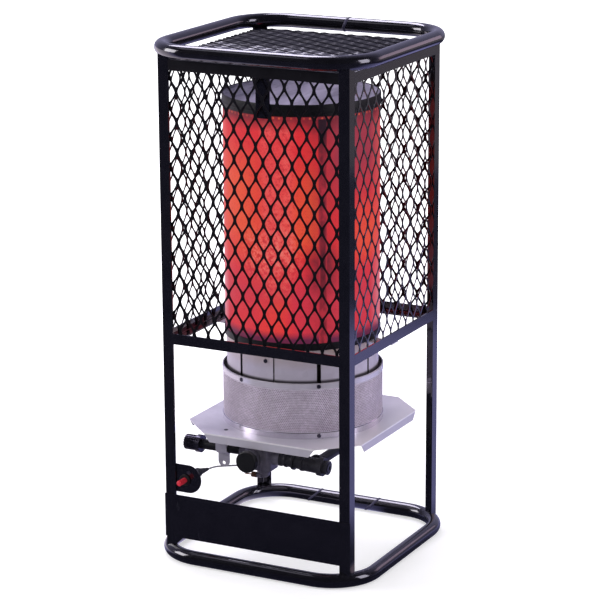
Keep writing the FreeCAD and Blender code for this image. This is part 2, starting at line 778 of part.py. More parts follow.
def swivel_nut():
    """The fluted nut that takes the hose, free to turn on the inlet pipe."""
    body = rod(NUT_D, NUT_LENGTH, (NUT_X, TRAIN_Y, INLET_Z), X_AXIS)
    flutes = []
    for index in range(NUT_FLUTES):
        turn = 2 * math.pi * index / NUT_FLUTES
        y = TRAIN_Y + NUT_D / 2 * math.cos(turn)
        z = INLET_Z + NUT_D / 2 * math.sin(turn)
        flutes.append(rod(NUT_FLUTE_D, NUT_BARREL, (NUT_X, y, z), X_AXIS))
    collar = rod(NUT_COLLAR_D, NUT_COLLAR_WIDTH, (NUT_COLLAR_X, TRAIN_Y, INLET_Z), X_AXIS)
    thread = rod(NUT_THREAD_D, NUT_THREAD, (NUT_X, TRAIN_Y, INLET_Z), X_AXIS)
    chamber_d = PIPE_COLLAR_D + 2 * PIPE_COLLAR_CLEARANCE
    chamber = rod(chamber_d, NUT_LENGTH - NUT_FLOOR, (NUT_X, TRAIN_Y, INLET_Z), X_AXIS)
    bore = rod(PIPE_D + 2 * RUN_CLEARANCE, 2 * NUT_LENGTH, (NUT_X, TRAIN_Y, INLET_Z), X_AXIS)
    return join([body.cut(flutes), collar]).cut([thread, chamber, bore])


def inlet_pipe():
    """The pipe from the swivel nut's seat to the valve, with a collar that keeps the nut on."""
    seat = NUT_X + NUT_LENGTH - NUT_FLOOR - END_CLEARANCE
    start = seat - PIPE_COLLAR
    end = VALVE_X - VALVE_BOSS_IN
    pipe = rod(PIPE_D, end - seat, (seat, TRAIN_Y, INLET_Z), X_AXIS)
    collar = rod(PIPE_COLLAR_D, PIPE_COLLAR, (start, TRAIN_Y, INLET_Z), X_AXIS)
    bore = rod(PIPE_BORE_D, end - start, (start, TRAIN_Y, INLET_Z), X_AXIS)
    return join([pipe, collar]).cut(bore)


def valve_body():
    """The die-cast safety valve: body, two pipe bosses, bonnet for the stem and neck for the magnet cup."""
    back = TRAIN_Y + VALVE_DEPTH / 2
    block = box(VALVE_X, VALVE_FRONT, VALVE_LOW, VALVE_END, back, VALVE_HIGH)
    upright = [edge for edge in block.Edges if edge.tangentAt(edge.FirstParameter).cross(Z_AXIS).Length < 0.5]
    block = block.makeFillet(VALVE_ROUND, upright)
    inlet = rod(VALVE_BOSS_D, VALVE_BOSS_IN, (VALVE_X - VALVE_BOSS_IN, TRAIN_Y, INLET_Z), X_AXIS)
    outlet = outlet_rod(VALVE_BOSS_D, VALVE_END - VALVE_BOSS_BURIED, VALVE_BOSS_OUT + VALVE_BOSS_BURIED)
    bonnet = rod(BONNET_D, BONNET_LENGTH, (STEM_X, BONNET_FRONT, STEM_Z), Y_AXIS)
    neck = rod(CUP_NECK_D, CUP_NECK, (CUP_X, TRAIN_Y, CUP_TOP), Z_AXIS)
    rib_x = CUP_X + VALVE_RIB
    rib = box(rib_x, VALVE_FRONT - VALVE_RIB_PROUD, VALVE_LOW, rib_x + VALVE_RIB, VALVE_FRONT, VALVE_HIGH)
    solid = join([block, inlet, outlet, bonnet, neck, rib])
    room = PLUG_LENGTH + 2 * END_CLEARANCE
    chamber = rod(PLUG_D + 2 * RUN_CLEARANCE, room, (STEM_X, PLUG_FRONT - END_CLEARANCE, STEM_Z), Y_AXIS)
    mouth = BONNET_FRONT - BONNET_LENGTH
    stem_hole = rod(STEM_D + 4 * RUN_CLEARANCE, PLUG_FRONT - mouth, (STEM_X, mouth, STEM_Z), Y_AXIS)
    return solid.cut([chamber, stem_hole])


def stem_flat(diameter, start, length, clearance):
    """A round bar along Y with a flat on top, as the stem's end and its socket have."""
    bar = rod(diameter, length, (STEM_X, start, STEM_Z), Y_AXIS)
    top = STEM_Z + STEM_FLAT + clearance
    return bar.cut(box(STEM_X - diameter, start, top, STEM_X + diameter, start + length, top + diameter))


def valve_plug():
    """The turning plug inside the valve, with a socket that the stem slides in."""
    plug = rod(PLUG_D, PLUG_LENGTH, (STEM_X, PLUG_FRONT, STEM_Z), Y_AXIS)
    return plug.cut(stem_flat(STEM_D + 2 * RUN_CLEARANCE, PLUG_FRONT, PLUG_SOCKET, RUN_CLEARANCE))


def valve_stem():
    """The stem from the knob's socket to the plug's, flatted where the plug drives it."""
    start = KNOB_BACK - KNOB_SOCKET
    flat = PLUG_FRONT - KNOB_PUSH - STEM_END_GAP
    shaft = rod(STEM_D, flat - start, (STEM_X, start, STEM_Z), Y_AXIS)
    tip = stem_flat(STEM_D, flat, PLUG_SOCKET, 0)
    return join([shaft, tip])


def chamfered_rod(diameter, length, start, direction, edge, both=False):
    """A round bar with its near end chamfered, or both ends."""
    bar = rod(diameter, length, start, direction)
    near = Vector(*start)
    far = near + direction * length
    ends = [near, far] if both else [near]
    rims = []
    for rim in bar.Edges:
        if any(rim.BoundBox.Center.distanceToPoint(end) < edge for end in ends):
            rims.append(rim)
    return bar.makeChamfer(edge, rims)


def valve_knob():
    """The round knob, pressed on the stem."""
    knob = chamfered_rod(KNOB_D, KNOB_T, (STEM_X, KNOB_FRONT, STEM_Z), Y_AXIS, KNOB_EDGE, True)
    return knob.cut(rod(STEM_D, KNOB_SOCKET, (STEM_X, KNOB_BACK - KNOB_SOCKET, STEM_Z), Y_AXIS))


def magnet_cup():
    """The round housing of the safety magnet under the valve, with a port for the thermocouple."""
    low = (CUP_X, TRAIN_Y, CUP_TOP - CUP_HEIGHT)
    cup = chamfered_rod(CUP_D, CUP_HEIGHT, low, Z_AXIS, CUP_CHAMFER)
    x, y, z = PROBE_SEAT
    port = rod(CUP_PORT_D, CUP_X - x - PROBE_NUT, (x + PROBE_NUT, y, z), X_AXIS)
    return join([cup, port])


def outlet_rod(diameter, x, length):
    """A round bar on the drooping outlet line; x is measured along the line as if it lay level."""
    bar = rod(diameter, length, (x, TRAIN_Y, TRAIN_Z), X_AXIS)
    bar.rotate(Vector(VALVE_END, TRAIN_Y, TRAIN_Z), Y_AXIS, OUTLET_DROOP)
    return bar


def outlet_coupling():
    """The ringed coupling on the valve's outlet."""
    return join([
        outlet_rod(COUPLING_D, COUPLING_X, COUPLING_LENGTH),
        outlet_rod(COUPLING_RING_D, COUPLING_X, BEAD),
        outlet_rod(COUPLING_RING_D, COUPLING_X + COUPLING_RING_STEP, BEAD),
        outlet_rod(COUPLING_BEAD_D, NIPPLE_X - BEAD, BEAD),
    ])


def outlet_nipple():
    """The short plain pipe from the coupling to the tee."""
    return outlet_rod(NIPPLE_D, NIPPLE_X, NIPPLE_LENGTH)


def outlet_tee():
    """The beaded tee: its branch goes back under the plate, and its free end has a neck and a collar."""
    branch = Vector(FEED_X, TRAIN_Y, FEED_Z)
    end = TRAIN_Y + TEE_BRANCH
    solid = join([
        outlet_rod(TEE_D, TEE_X, TEE_LENGTH),
        outlet_rod(TEE_RING_D, TEE_X, BEAD),
        outlet_rod(TEE_BEAD_D, TEE_NECK_X - TEE_BEAD, TEE_BEAD),
        outlet_rod(TEE_NECK_D, TEE_NECK_X, TEE_NECK),
        outlet_rod(TEE_COLLAR_D, TEE_NECK_X + TEE_NECK, TEE_COLLAR),
        rod(TEE_BRANCH_D, TEE_BRANCH, branch, Y_AXIS),
        rod(TEE_RING_D, BEAD, (FEED_X, end - BEAD, FEED_Z), Y_AXIS),
    ])
    return solid.cut(outlet_rod(TEE_PLUG_D, TEE_END - TEE_PLUG, 2 * TEE_PLUG))


def tee_plug():
    """The plug screwed into the tee's free end, with a square recess."""
    plug = outlet_rod(TEE_PLUG_D, TEE_END - TEE_PLUG, TEE_PLUG + TEE_PLUG_PROUD)
    half = TEE_PLUG_RECESS / 2
    recess = box(TEE_END, TRAIN_Y - half, TRAIN_Z - half, TEE_END + TEE_PLUG, TRAIN_Y + half, TRAIN_Z + half)
    recess.rotate(Vector(VALVE_END, TRAIN_Y, TRAIN_Z), Y_AXIS, OUTLET_DROOP)
    return plug.cut(recess)


def feed_pipe():
    """The bent pipe from the tee, back under the plate and across to the burner's middle."""
    start_y = TRAIN_Y + TEE_BRANCH
    end_x = INJECTOR_ELBOW_D / 2
    first = rod(PIPE_D, -FEED_BEND - start_y, (FEED_X, start_y, FEED_Z), Y_AXIS)
    corner = Vector(FEED_X - FEED_BEND, -FEED_BEND, FEED_Z)
    circle = Part.Wire(Part.Circle(Vector(FEED_X, -FEED_BEND, FEED_Z), Y_AXIS, PIPE_D / 2).toShape())
    bend = Part.Face(circle).revolve(corner, Z_AXIS, 90)
    second = rod(PIPE_D, FEED_X - FEED_BEND - end_x, (end_x, 0, FEED_Z), X_AXIS)
    return join([first, bend, second])


def injector_elbow():
    """The elbow under the burner that turns the gas upwards."""
    across = INJECTOR_ELBOW_D
    side = rod(across, across / 2, (0, 0, FEED_Z), X_AXIS)
    top = rod(across, across / 2, (0, 0, FEED_Z), Z_AXIS)
    knuckle = Part.makeSphere(across / 2, Vector(0, 0, FEED_Z))
    return join([knuckle, side, top])


def injector():
    """The brass injector: hexagon, nozzle and orifice, pointing up the burner tube."""
    low = FEED_Z + INJECTOR_ELBOW_D / 2
    body = hexagon(INJECTOR_HEX, INJECTOR_HEX_HEIGHT, (0, 0, low), Z_AXIS)
    tip_z = low + INJECTOR_HEX_HEIGHT
    tip = Part.makeCone(INJECTOR_TIP_D / 2, INJECTOR_TIP_D / 4, INJECTOR_TIP, Vector(0, 0, tip_z), Z_AXIS)
    orifice = rod(ORIFICE_D, INJECTOR_TIP, (0, 0, tip_z + INJECTOR_TIP / 2), Z_AXIS)
    return join([body, tip]).cut(orifice)


def burner_tube():
    """The venturi tube that draws air in with the gas, flanged on the plate."""
    top = PLATE_Z + VENTURI_HEIGHT
    throat = PLATE_Z + VENTURI_HEIGHT / 3
    t = VENTURI_T
    mouth = VENTURI_MOUTH_D / 2
    return turned((
        (mouth - t, PLATE_Z),
        (VENTURI_FLANGE_D / 2, PLATE_Z),
        (VENTURI_FLANGE_D / 2, PLATE_Z + t),
        (mouth, PLATE_Z + t),
        (VENTURI_THROAT_D / 2 + t, throat),
        (VENTURI_TOP_D / 2, top - VENTURI_COLLAR),
        (VENTURI_TOP_D / 2, top),
        (VENTURI_TOP_D / 2 - t, top),
        (VENTURI_THROAT_D / 2, throat),
    ))


def burner_head():
    """The drum on the burner tube, with a ring of upright flame ports in its wall and a closed lid."""
    low = PLATE_Z + VENTURI_HEIGHT - 2 * HEAD_T
    outer = HEAD_D / 2
    neck = VENTURI_TOP_D / 2
    drum = turned((
        (neck, low),
        (outer, low),
        (outer, low + HEAD_HEIGHT),
        (0, low + HEAD_HEIGHT + 2 * HEAD_T),
        (0, low + HEAD_HEIGHT + HEAD_T),
        (outer - HEAD_T, low + HEAD_HEIGHT - HEAD_T),
        (outer - HEAD_T, low + HEAD_T),
        (neck, low + HEAD_T),
    ))
    half = HEAD_PORT / 2
    foot = low + HEAD_PORT_Z
    port = box(-half, -outer - HEAD_T, foot, half, -outer + 2 * HEAD_T, foot + HEAD_PORT_HEIGHT)
    return drum.cut(turned_copies(port, [360 * index / HEAD_PORTS for index in range(HEAD_PORTS)]))


def spark_electrode():
    """The spark rod, bent in towards the burner head, with its terminal below."""
    x, y = ELECTRODE_XY
    low = PLATE_Z - INSULATOR_BELOW
    inward = ELECTRODE_LEAN / math.hypot(x, y)
    bend = Vector(x, y, PLATE_Z + VENTURI_HEIGHT)
    lean = Vector(-x * inward, -y * inward, ELECTRODE_RISE)
    upright = rod(ELECTRODE_D, bend.z - low, (x, y, low), Z_AXIS)
    leaning = Part.makeCylinder(ELECTRODE_D / 2, lean.Length, bend, lean)
    knuckle = Part.makeSphere(ELECTRODE_D / 2, bend)
    return join([upright, knuckle, leaning])


def electrode_insulator():
    """The ceramic sleeve that carries the spark rod through the plate."""
    x, y = ELECTRODE_XY
    low = PLATE_Z - INSULATOR_BELOW
    sleeve_bar = rod(INSULATOR_D, INSULATOR_BELOW + INSULATOR_ABOVE, (x, y, low), Z_AXIS)
    collar = rod(INSULATOR_COLLAR_D, INSULATOR_COLLAR, (x, y, PLATE_Z), Z_AXIS)
    bore = rod(ELECTRODE_D, INSULATOR_BELOW + INSULATOR_ABOVE, (x, y, low), Z_AXIS)
    return join([sleeve_bar, collar]).cut(bore)


def thermocouple_probe():
    """The flame sensor standing in the plate beside the burner head, its foot on the end of its lead."""
    x, y = PROBE_XY
    low = PROBE_ROUTE[-1][2]
    ferrule = rod(PROBE_FERRULE, PLATE_Z + PROBE_BELOW - low, (x, y, low), Z_AXIS)
    collar = rod(PROBE_COLLAR_D, PROBE_COLLAR, (x, y, PLATE_Z), Z_AXIS)
    tip = rod(PROBE_D, PROBE_HEIGHT, (x, y, PLATE_Z), Z_AXIS)
    return join([ferrule, collar, tip])


def probe_nut():
    """The brass nut that holds the thermocouple's lead in the magnet cup."""
    x, y, z = PROBE_SEAT
    return hexagon(PROBE_NUT_ACROSS, PROBE_NUT, (x, y, z), X_AXIS)


def igniter_plate():
    """The round ended plate behind the front left post that holds the igniter."""
    x, z, radius = IGNITER_PLATE_CENTRE_X, IGNITER_PLATE_Z, IGNITER_PLATE_R
    left = box(IGNITER_PLATE_X, IGNITER_FRONT, z - radius, x, IGNITER_BACK, z + radius)
    end = rod(2 * radius, IGNITER_PLATE_T, (x, IGNITER_FRONT, z), Y_AXIS)
    hole = rod(IGNITER_D, IGNITER_LENGTH, (IGNITER_X, IGNITER_FLANGE_FRONT, IGNITER_Z), Y_AXIS)
    holes = [screw_hole(seat, outward) for seat, outward in igniter_screw_seats()]
    return join([left, end]).cut([hole] + holes)


def igniter_screw_seats():
    """The screw through the igniter's plate."""
    x = IGNITER_PLATE_CENTRE_X + IGNITER_SCREW_OFFSET[0]
    z = IGNITER_PLATE_Z + IGNITER_SCREW_OFFSET[1]
    return [(Vector(x, IGNITER_FRONT, z), Y_AXIS * -1)]


def igniter_rod(diameter, start, length):
    """A round bar on the igniter's axis."""
    return rod(diameter, length, (IGNITER_X, start, IGNITER_Z), Y_AXIS)


def igniter_body():
    """The piezo igniter: flange in front of the plate, barrel behind it, bored for the button."""
    flange_disc = igniter_rod(IGNITER_FLANGE_D, IGNITER_FLANGE_FRONT, IGNITER_FLANGE)
    barrel = igniter_rod(IGNITER_D, IGNITER_FRONT, IGNITER_LENGTH)
    lip = IGNITER_CHAMBER + END_CLEARANCE - IGNITER_FLANGE_FRONT
    mouth = igniter_rod(BUTTON_D + 2 * RUN_CLEARANCE, IGNITER_FLANGE_FRONT, lip)
    depth = BUTTON_STOP + BUTTON_TRAVEL + BUTTON_INSIDE + 2 * END_CLEARANCE
    chamber = igniter_rod(BUTTON_STOP_D + 4 * RUN_CLEARANCE, IGNITER_CHAMBER, depth)
    return join([flange_disc, barrel]).cut([mouth, chamber])


def igniter_nut():
    """The hexagon nut behind the plate that clamps the igniter."""
    nut = hexagon(IGNITER_NUT, IGNITER_NUT_T, (IGNITER_X, IGNITER_BACK, IGNITER_Z), Y_AXIS)
    return nut.cut(igniter_rod(IGNITER_D, IGNITER_FRONT, IGNITER_LENGTH))


def igniter_button():
    """The red button, with a shoulder inside the barrel that stops it coming out."""
    stop = IGNITER_CHAMBER + END_CLEARANCE
    start = IGNITER_FLANGE_FRONT - BUTTON_PROUD
    button = chamfered_rod(BUTTON_D, stop - start, (IGNITER_X, start, IGNITER_Z), Y_AXIS, BUTTON_EDGE)
    return join([button, igniter_rod(BUTTON_STOP_D, stop, BUTTON_STOP)])


def igniter_boot():
    """The rubber boot on the igniter's back end, tapering and drooping towards the lead."""
    start = Vector(IGNITER_X, IGNITER_FRONT + IGNITER_LENGTH, IGNITER_Z)
    way = Vector(*LEAD_ROUTE[0]) - start
    length = way.Length
    way.normalize()
    buried = BOOT_BASE_D / 4
    taper = (BOOT_BASE_D - BOOT_TIP_D) / 2 / length
    cone = Part.makeCone(
        BOOT_BASE_D / 2 + taper * buried, BOOT_TIP_D / 2, length + buried, start - way * buried, way)
    return cone.cut(igniter_rod(2 * BOOT_BASE_D, start.y - BOOT_BASE_D, BOOT_BASE_D))


def lead(route, diameter):
    """A lead along its route: straight runs joined by the largest arcs that they allow."""
    points = [Vector(*point) for point in route]
    edges = []
    radii = []
    here = points[0]
    for before, corner, after in zip(points, points[1:], points[2:]):
        into = (corner - before).normalize()
        out = (after - corner).normalize()
        half = math.acos(max(-1.0, min(1.0, into.dot(out)))) / 2
        setback = 0.45 * min(corner.distanceToPoint(before), corner.distanceToPoint(after))
        radius = setback / math.tan(half)
        radii.append(round(radius, 1))
        first = corner - into * setback
        last = corner + out * setback
        centre_way = (out - into).normalize()
        centre = corner + centre_way * (radius / math.cos(half))
        middle = centre - centre_way * radius
        edges.append(Part.LineSegment(here, first).toShape())
        edges.append(Part.Arc(first, middle, last).toShape())
        here = last
    edges.append(Part.LineSegment(here, points[-1]).toShape())
    path = Part.Wire(edges)
    direction = points[1] - points[0]
    section = Part.Wire(Part.Circle(points[0], direction, diameter / 2).toShape())
    tube = path.makePipeShell([section], True, False)
    print("lead radii", radii, "length", round(path.Length, 1),
          "volume ratio", round(tube.Volume / (math.pi * diameter ** 2 / 4 * path.Length), 4))
    return tube


def main():
    """Build and write every piece."""
    os.makedirs("parts", exist_ok=True)
    sides = ("front", "right", "rear", "left")
    corners = ("front_left", "front_right", "rear_right", "rear_left")

    top_ring = ring(RING_HIGH_Z)
    bottom_ring = ring(RING_LOW_Z, FOOT_FLAT)
    save("top_ring", top_ring)
    save("bottom_ring", bottom_ring)
    for name, post in zip(corners, posts([top_ring, bottom_ring])):
        save("post_" + name, post)
    strap_holes = [screw_hole(seat, outward) for seat, outward in strap_screw_seats()]
    for name, rail in zip(sides, rails(RAIL_TOP, True)):
        save("top_rail_" + name, rail.cut(strap_holes))
    bracket_holes = [screw_hole(seat, outward) for seat, outward in bracket_screw_seats()]
    for name, rail in zip(sides, rails(LOWER_RAIL_Z, False)):
        save("lower_rail_" + name, rail.cut(bracket_holes))
    save("front_panel", front_panel())
    for name, net in zip(sides, side_nets()):
        save("net_" + name, net)
    save("net_top", top_net())

    tube, lower_rim, upper_rim, seam, cap = emitter_pieces()
    save("emitter_tube", tube)
    save("emitter_lower_rim", lower_rim)
    save("emitter_upper_rim", upper_rim)
    save("emitter_seam_strip", seam)
    save("emitter_cap", cap)
    save("burner_can", burner_can())
    save("air_screen", air_screen())
    front_strap, rear_strap = turned_copies(strap(), (0, 180))
    save("upper_straps", Part.makeCompound([front_strap.cut(strap_holes), rear_strap.cut(strap_holes)]))
    save("side_brackets", Part.makeCompound(turned_copies(side_bracket(), (0, 180))))
    save("base_plate", base_plate())

    save("burner_tube", burner_tube())
    save("burner_head", burner_head())
    save("injector", injector())
    save("injector_elbow", injector_elbow())
    save("feed_pipe", feed_pipe())
    save("outlet_tee", outlet_tee())
    save("tee_plug", tee_plug())
    save("outlet_nipple", outlet_nipple())
    save("outlet_coupling", outlet_coupling())
    save("valve_body", valve_body())
    save("valve_plug", valve_plug())
    save("valve_stem", valve_stem())
    save("valve_knob", valve_knob())
    save("magnet_cup", magnet_cup())
    save("inlet_pipe", inlet_pipe())
    save("inlet_swivel_nut", swivel_nut())
    save("pipe_clip", pipe_clip())

    save("electrode_insulator", electrode_insulator())
    save("spark_electrode", spark_electrode())
    save("thermocouple_probe", thermocouple_probe())
    save("thermocouple_nut", probe_nut())
    save("thermocouple_lead", lead((PROBE_SEAT,) + PROBE_ROUTE, PROBE_LEAD_D))
    save("igniter_plate", igniter_plate())
    save("igniter_body", igniter_body())
    save("igniter_nut", igniter_nut())
    save("igniter_button", igniter_button())
    save("igniter_boot", igniter_boot())
    save("ignition_lead", lead(LEAD_ROUTE, LEAD_D))

    seats = can_screw_seats() + screen_screw_seats() + strap_screw_seats() + bracket_screw_seats()
    seats += plate_screw_seats() + igniter_screw_seats()
    save("pan_screws", Part.makeCompound([screw(*seat) for seat in seats]))


main()
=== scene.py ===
"""Looks of the radiant gas heater: finishes, real nets, softened edges, light and camera.

Metres, in the frame's own axes: +Z up, +X to the right, -Y to the front. Values in millimetres say so.
"""

import json
import math
from collections import namedtuple

import bmesh
import bpy
from mathutils import Matrix, Vector

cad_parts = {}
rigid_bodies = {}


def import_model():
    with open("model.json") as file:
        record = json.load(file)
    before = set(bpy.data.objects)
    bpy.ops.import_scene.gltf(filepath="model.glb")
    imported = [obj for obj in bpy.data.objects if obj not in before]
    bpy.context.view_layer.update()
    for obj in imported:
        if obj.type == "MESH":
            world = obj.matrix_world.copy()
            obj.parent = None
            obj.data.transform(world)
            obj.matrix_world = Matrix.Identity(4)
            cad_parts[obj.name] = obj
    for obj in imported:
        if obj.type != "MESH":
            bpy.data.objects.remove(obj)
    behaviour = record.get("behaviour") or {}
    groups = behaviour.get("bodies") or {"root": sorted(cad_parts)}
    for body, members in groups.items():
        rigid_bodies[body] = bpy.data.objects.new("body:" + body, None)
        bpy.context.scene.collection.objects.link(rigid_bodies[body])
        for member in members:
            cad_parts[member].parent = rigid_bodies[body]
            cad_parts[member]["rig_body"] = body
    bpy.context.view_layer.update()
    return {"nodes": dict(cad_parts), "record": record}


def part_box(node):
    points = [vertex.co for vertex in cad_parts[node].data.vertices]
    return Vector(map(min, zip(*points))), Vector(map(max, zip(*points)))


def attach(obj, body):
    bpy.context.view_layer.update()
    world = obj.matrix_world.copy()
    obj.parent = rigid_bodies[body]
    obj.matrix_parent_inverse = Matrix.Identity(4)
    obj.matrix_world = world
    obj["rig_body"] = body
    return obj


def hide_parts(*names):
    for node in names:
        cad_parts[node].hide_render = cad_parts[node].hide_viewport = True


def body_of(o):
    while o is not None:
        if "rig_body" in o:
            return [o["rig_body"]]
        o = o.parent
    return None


MM = 0.001

# Camera, worked out from the photograph
AZIMUTH = math.radians(27.18)
ELEVATION = math.radians(14.95)
ROLL = math.radians(-0.32)
DISTANCE = 4.242
TARGET = Vector((-0.0047, 0.0, 0.427))
FOCAL_PIXELS = 2522.3
FRAME_PIXELS = 600
SENSOR_MM = 36.0

# Soft boxes: place, width and height, watts, colour, and the point that each faces
MIDDLE = (0.0, 0.0, 0.45)
LAMPS = {
    "right_box": ((2.6, 0.2, 1.3), (1.0, 1.8), 24.0, (0.92, 0.88, 1.0), MIDDLE),
    "top_box": ((-2.6, 2.25, 5.4), (3.0, 2.5), 165.0, (0.88, 0.84, 1.0), MIDDLE),
    "left_box": ((-2.7, -1.5, 1.5), (1.6, 1.6), 47.0, (1.0, 0.97, 1.0), MIDDLE),
    "front_strip": ((-1.76, -1.2, 3.67), (1.4, 0.7), 2.2, (0.9, 0.87, 1.0), MIDDLE),
    "back_panel": ((1.3, 1.9, 1.05), (1.0, 0.75), 1.9, (1.0, 0.72, 0.86), (0.2, 0.0, 0.87)),
}

# Room: what gloss sees in front and behind, how far its bright side is turned to the left, how far back it
# is full, and the plain fill on everything
GLOSS_FRONT = 0.03
GLOSS_BACK = 0.32
GLOSS_LEFT = 0.5
GLOSS_FULL = 0.9
FILL = 0.56

# Floor: how far it reaches, and how far it lies below the heater
FLOOR_HALF = 30.0
FLOOR_SUNK = 0.0002

# Expanded metal: pitches, the first opening's place, the rows' skew, the strands' tilt and the bonds' width
Net = namedtuple("Net", "short long first_u first_v skew raised bond")
FRONT_NET = Net(0.02618, 0.05001, 0.01652, 0.02097, -0.0174, 0.0002, 0.0046)
RIGHT_NET = Net(0.0295, 0.05003, 0.02051, 0.01992, -0.0143, 0.0002, 0.0046)
NETS = {
    "net_front": FRONT_NET,
    "net_right": RIGHT_NET,
    "net_rear": FRONT_NET._replace(first_u=0.0093, first_v=0.0142, skew=0.0),
    "net_left": RIGHT_NET._replace(first_u=0.0036, first_v=0.0085, skew=0.0),
    "net_top": Net(0.0280, 0.0505, 0.0010, 0.0255, 0.0, -0.0013, 0.0068),
}

# What all nets share: the bonds' length, how round the openings are, how fast the tilt grows across one,
# the metal's thickness, the points in a quarter of an opening, how near points are joined, and the top
# net's gap inside its rails
BOND_LENGTH = 0.0135
GAP_BULGE = 1.55
LEAN_RATE = 5.6
NET_SHEET = 0.0012
NET_STEPS = 5
NET_JOIN = 1e-5
TOP_NET_MARGIN = 0.0015

# Tube rings, in millimetres: the heater's size over them, the tube, its bends and the flat it stands on
WIDTH = 400.0
HEIGHT = 879.0
TUBE_RADIUS = 12.0
RING_HALF = WIDTH / 2 - TUBE_RADIUS
RING_BEND = 78.0
FOOT_FLAT = 0.3
FOOT_LEVEL = TUBE_RADIUS - FOOT_FLAT
TOP_LEVEL = HEIGHT - TUBE_RADIUS
BEND_STEPS = 28
ROUND_STEPS = 40

# Butt welds on the rings' rear bars, in millimetres: place along the bar, its level, and how far the cut
# slants. A bead's section is how far across it and how proud of the tube. Ripples and sways are counted
# once round the tube
WELDS = {
    "foot_weld_left": (-72.0, FOOT_LEVEL, 13.0),
    "foot_weld_right": (42.0, FOOT_LEVEL, 13.0),
    "top_weld": (-8.0, TOP_LEVEL, 4.0),
}
WELD_SECTION = ((-3.2, -0.2), (-2.4, 0.35), (-1.0, 0.75), (0.6, 0.8), (2.2, 0.4), (3.2, -0.2))
WELD_RIPPLE = 0.18
WELD_RIPPLES = 17
WELD_SWAY = 0.4
WELD_SWAYS = 5

# The emitter's upper rim and cap, in millimetres, where the photograph has them, a little above the solids.
# Their sections are offsets from the rim's outer radius and its foot
RIM_RADIUS = 131.5
RIM_FOOT = 764.5
RIM_SECTION = (
    (0, 0), (0, 5.5), (0.5, 6.1), (0.5, 7.9), (0, 8.5), (0, 18.1), (-0.3, 19.1), (-1.1, 19.6), (-1.9, 19.1),
    (-2.2, 18.1), (-2.2, 0))
CAP_SECTION = (
    (-RIM_RADIUS, 17.9), (-27.5, 17.9), (-19.5, 17.5), (-11.5, 17.3), (-6.5, 18.0), (-3.9, 18.9),
    (-2.6, 18.7), (-2.3, 17.7), (-2.3, 11.5), (-3.1, 11.5), (-3.1, 17.1), (-7.5, 16.7), (-27.5, 16.9),
    (-RIM_RADIUS, 16.9))
TURN_STEPS = 144

# Pan heads, in millimetres: rings of radius and height, and the cross pressed into each. Every cross is
# turned from the one before it, by an angle in radians
HEAD_RINGS = (
    (3.5, 0.0), (3.55, 0.7), (3.4, 1.3), (3.0, 1.8), (2.4, 2.1), (2.15, 2.15), (1.5, 2.22), (0.9, 2.25),
    (0.5, 2.25))
HEAD_STEPS = 32
HEAD_HEIGHT = 2.2
CROSS_REACH = 2.3
CROSS_HALF = 0.5
CROSS_MIDDLE = 0.6
CROSS_DEPTH = 0.7
CROSS_SLOPE = 0.25
CROSS_FLOOR = 1.0
CROSS_TURN = 0.9

# The CAD's triangles: how near points are merged, in metres, and the angles, in degrees, below which faces
# are merged and above which edges are rounded
MERGE_WITHIN = 2e-6
FLAT_ANGLE = 0.4
SHARP_ANGLE = 28.0

# How far each CAD piece's edges are softened, in millimetres
BEVELS = {
    "emitter_tube": 0.0, "ignition_lead": 0.0, "thermocouple_lead": 0.0, "igniter_boot": 0.0,
    "front_panel": 0.35, "base_plate": 0.7, "upper_straps": 0.4, "side_brackets": 0.3,
    "emitter_lower_rim": 0.4, "emitter_seam_strip": 0.2,
    "burner_can": 0.2, "air_screen": 0.25, "igniter_plate": 0.4, "pipe_clip": 0.3,
    "valve_body": 0.8, "valve_knob": 0.5, "magnet_cup": 0.5, "inlet_swivel_nut": 0.35, "inlet_pipe": 0.3,
    "outlet_coupling": 0.6, "outlet_tee": 0.6, "outlet_nipple": 0.3, "tee_plug": 0.4, "feed_pipe": 0.0,
    "injector_elbow": 0.3, "injector": 0.3, "burner_tube": 0.2, "burner_head": 0.4,
    "electrode_insulator": 0.4, "spark_electrode": 0.1, "thermocouple_probe": 0.3, "thermocouple_nut": 0.4,
    "igniter_body": 0.4, "igniter_nut": 0.4, "igniter_button": 0.4, "valve_stem": 0.2, "valve_plug": 0.2,
}
for corner in ("front_left", "front_right", "rear_right", "rear_left"):
    BEVELS["post_" + corner] = 0.5
for side in ("front", "right", "rear", "left"):
    BEVELS["top_rail_" + side] = 0.15
    BEVELS["lower_rail_" + side] = 0.5

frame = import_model()
nodes = frame["nodes"]
SLOTS = {row["node"]: row["material_slot"] for row in frame["record"]["subparts"]}


# Meshes

def new_object(name, data):
    """An object in the scene for a mesh, a lamp or a camera."""
    piece = bpy.data.objects.new(name, data)
    bpy.context.scene.collection.objects.link(piece)
    return piece


def from_bmesh(name, bm, smooth_angle):
    """An object from a bmesh, facing outwards, and smooth but for edges sharper than the angle."""
    bmesh.ops.recalc_face_normals(bm, faces=bm.faces)
    mesh = bpy.data.meshes.new(name)
    bm.to_mesh(mesh)
    bm.free()
    mesh.polygons.foreach_set("use_smooth", [True] * len(mesh.polygons))
    mesh.set_sharp_from_angle(angle=math.radians(smooth_angle))
    return new_object(name, mesh)


def dress(piece, node, material):
    """Give a piece its finish, and put it in a CAD node's place, body and slot, or else on the root."""
    body = "root"
    if node:
        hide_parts(node)
        body = body_of(nodes[node])[0]
    piece.data.materials.clear()
    piece.data.materials.append(material)
    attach(piece, body)


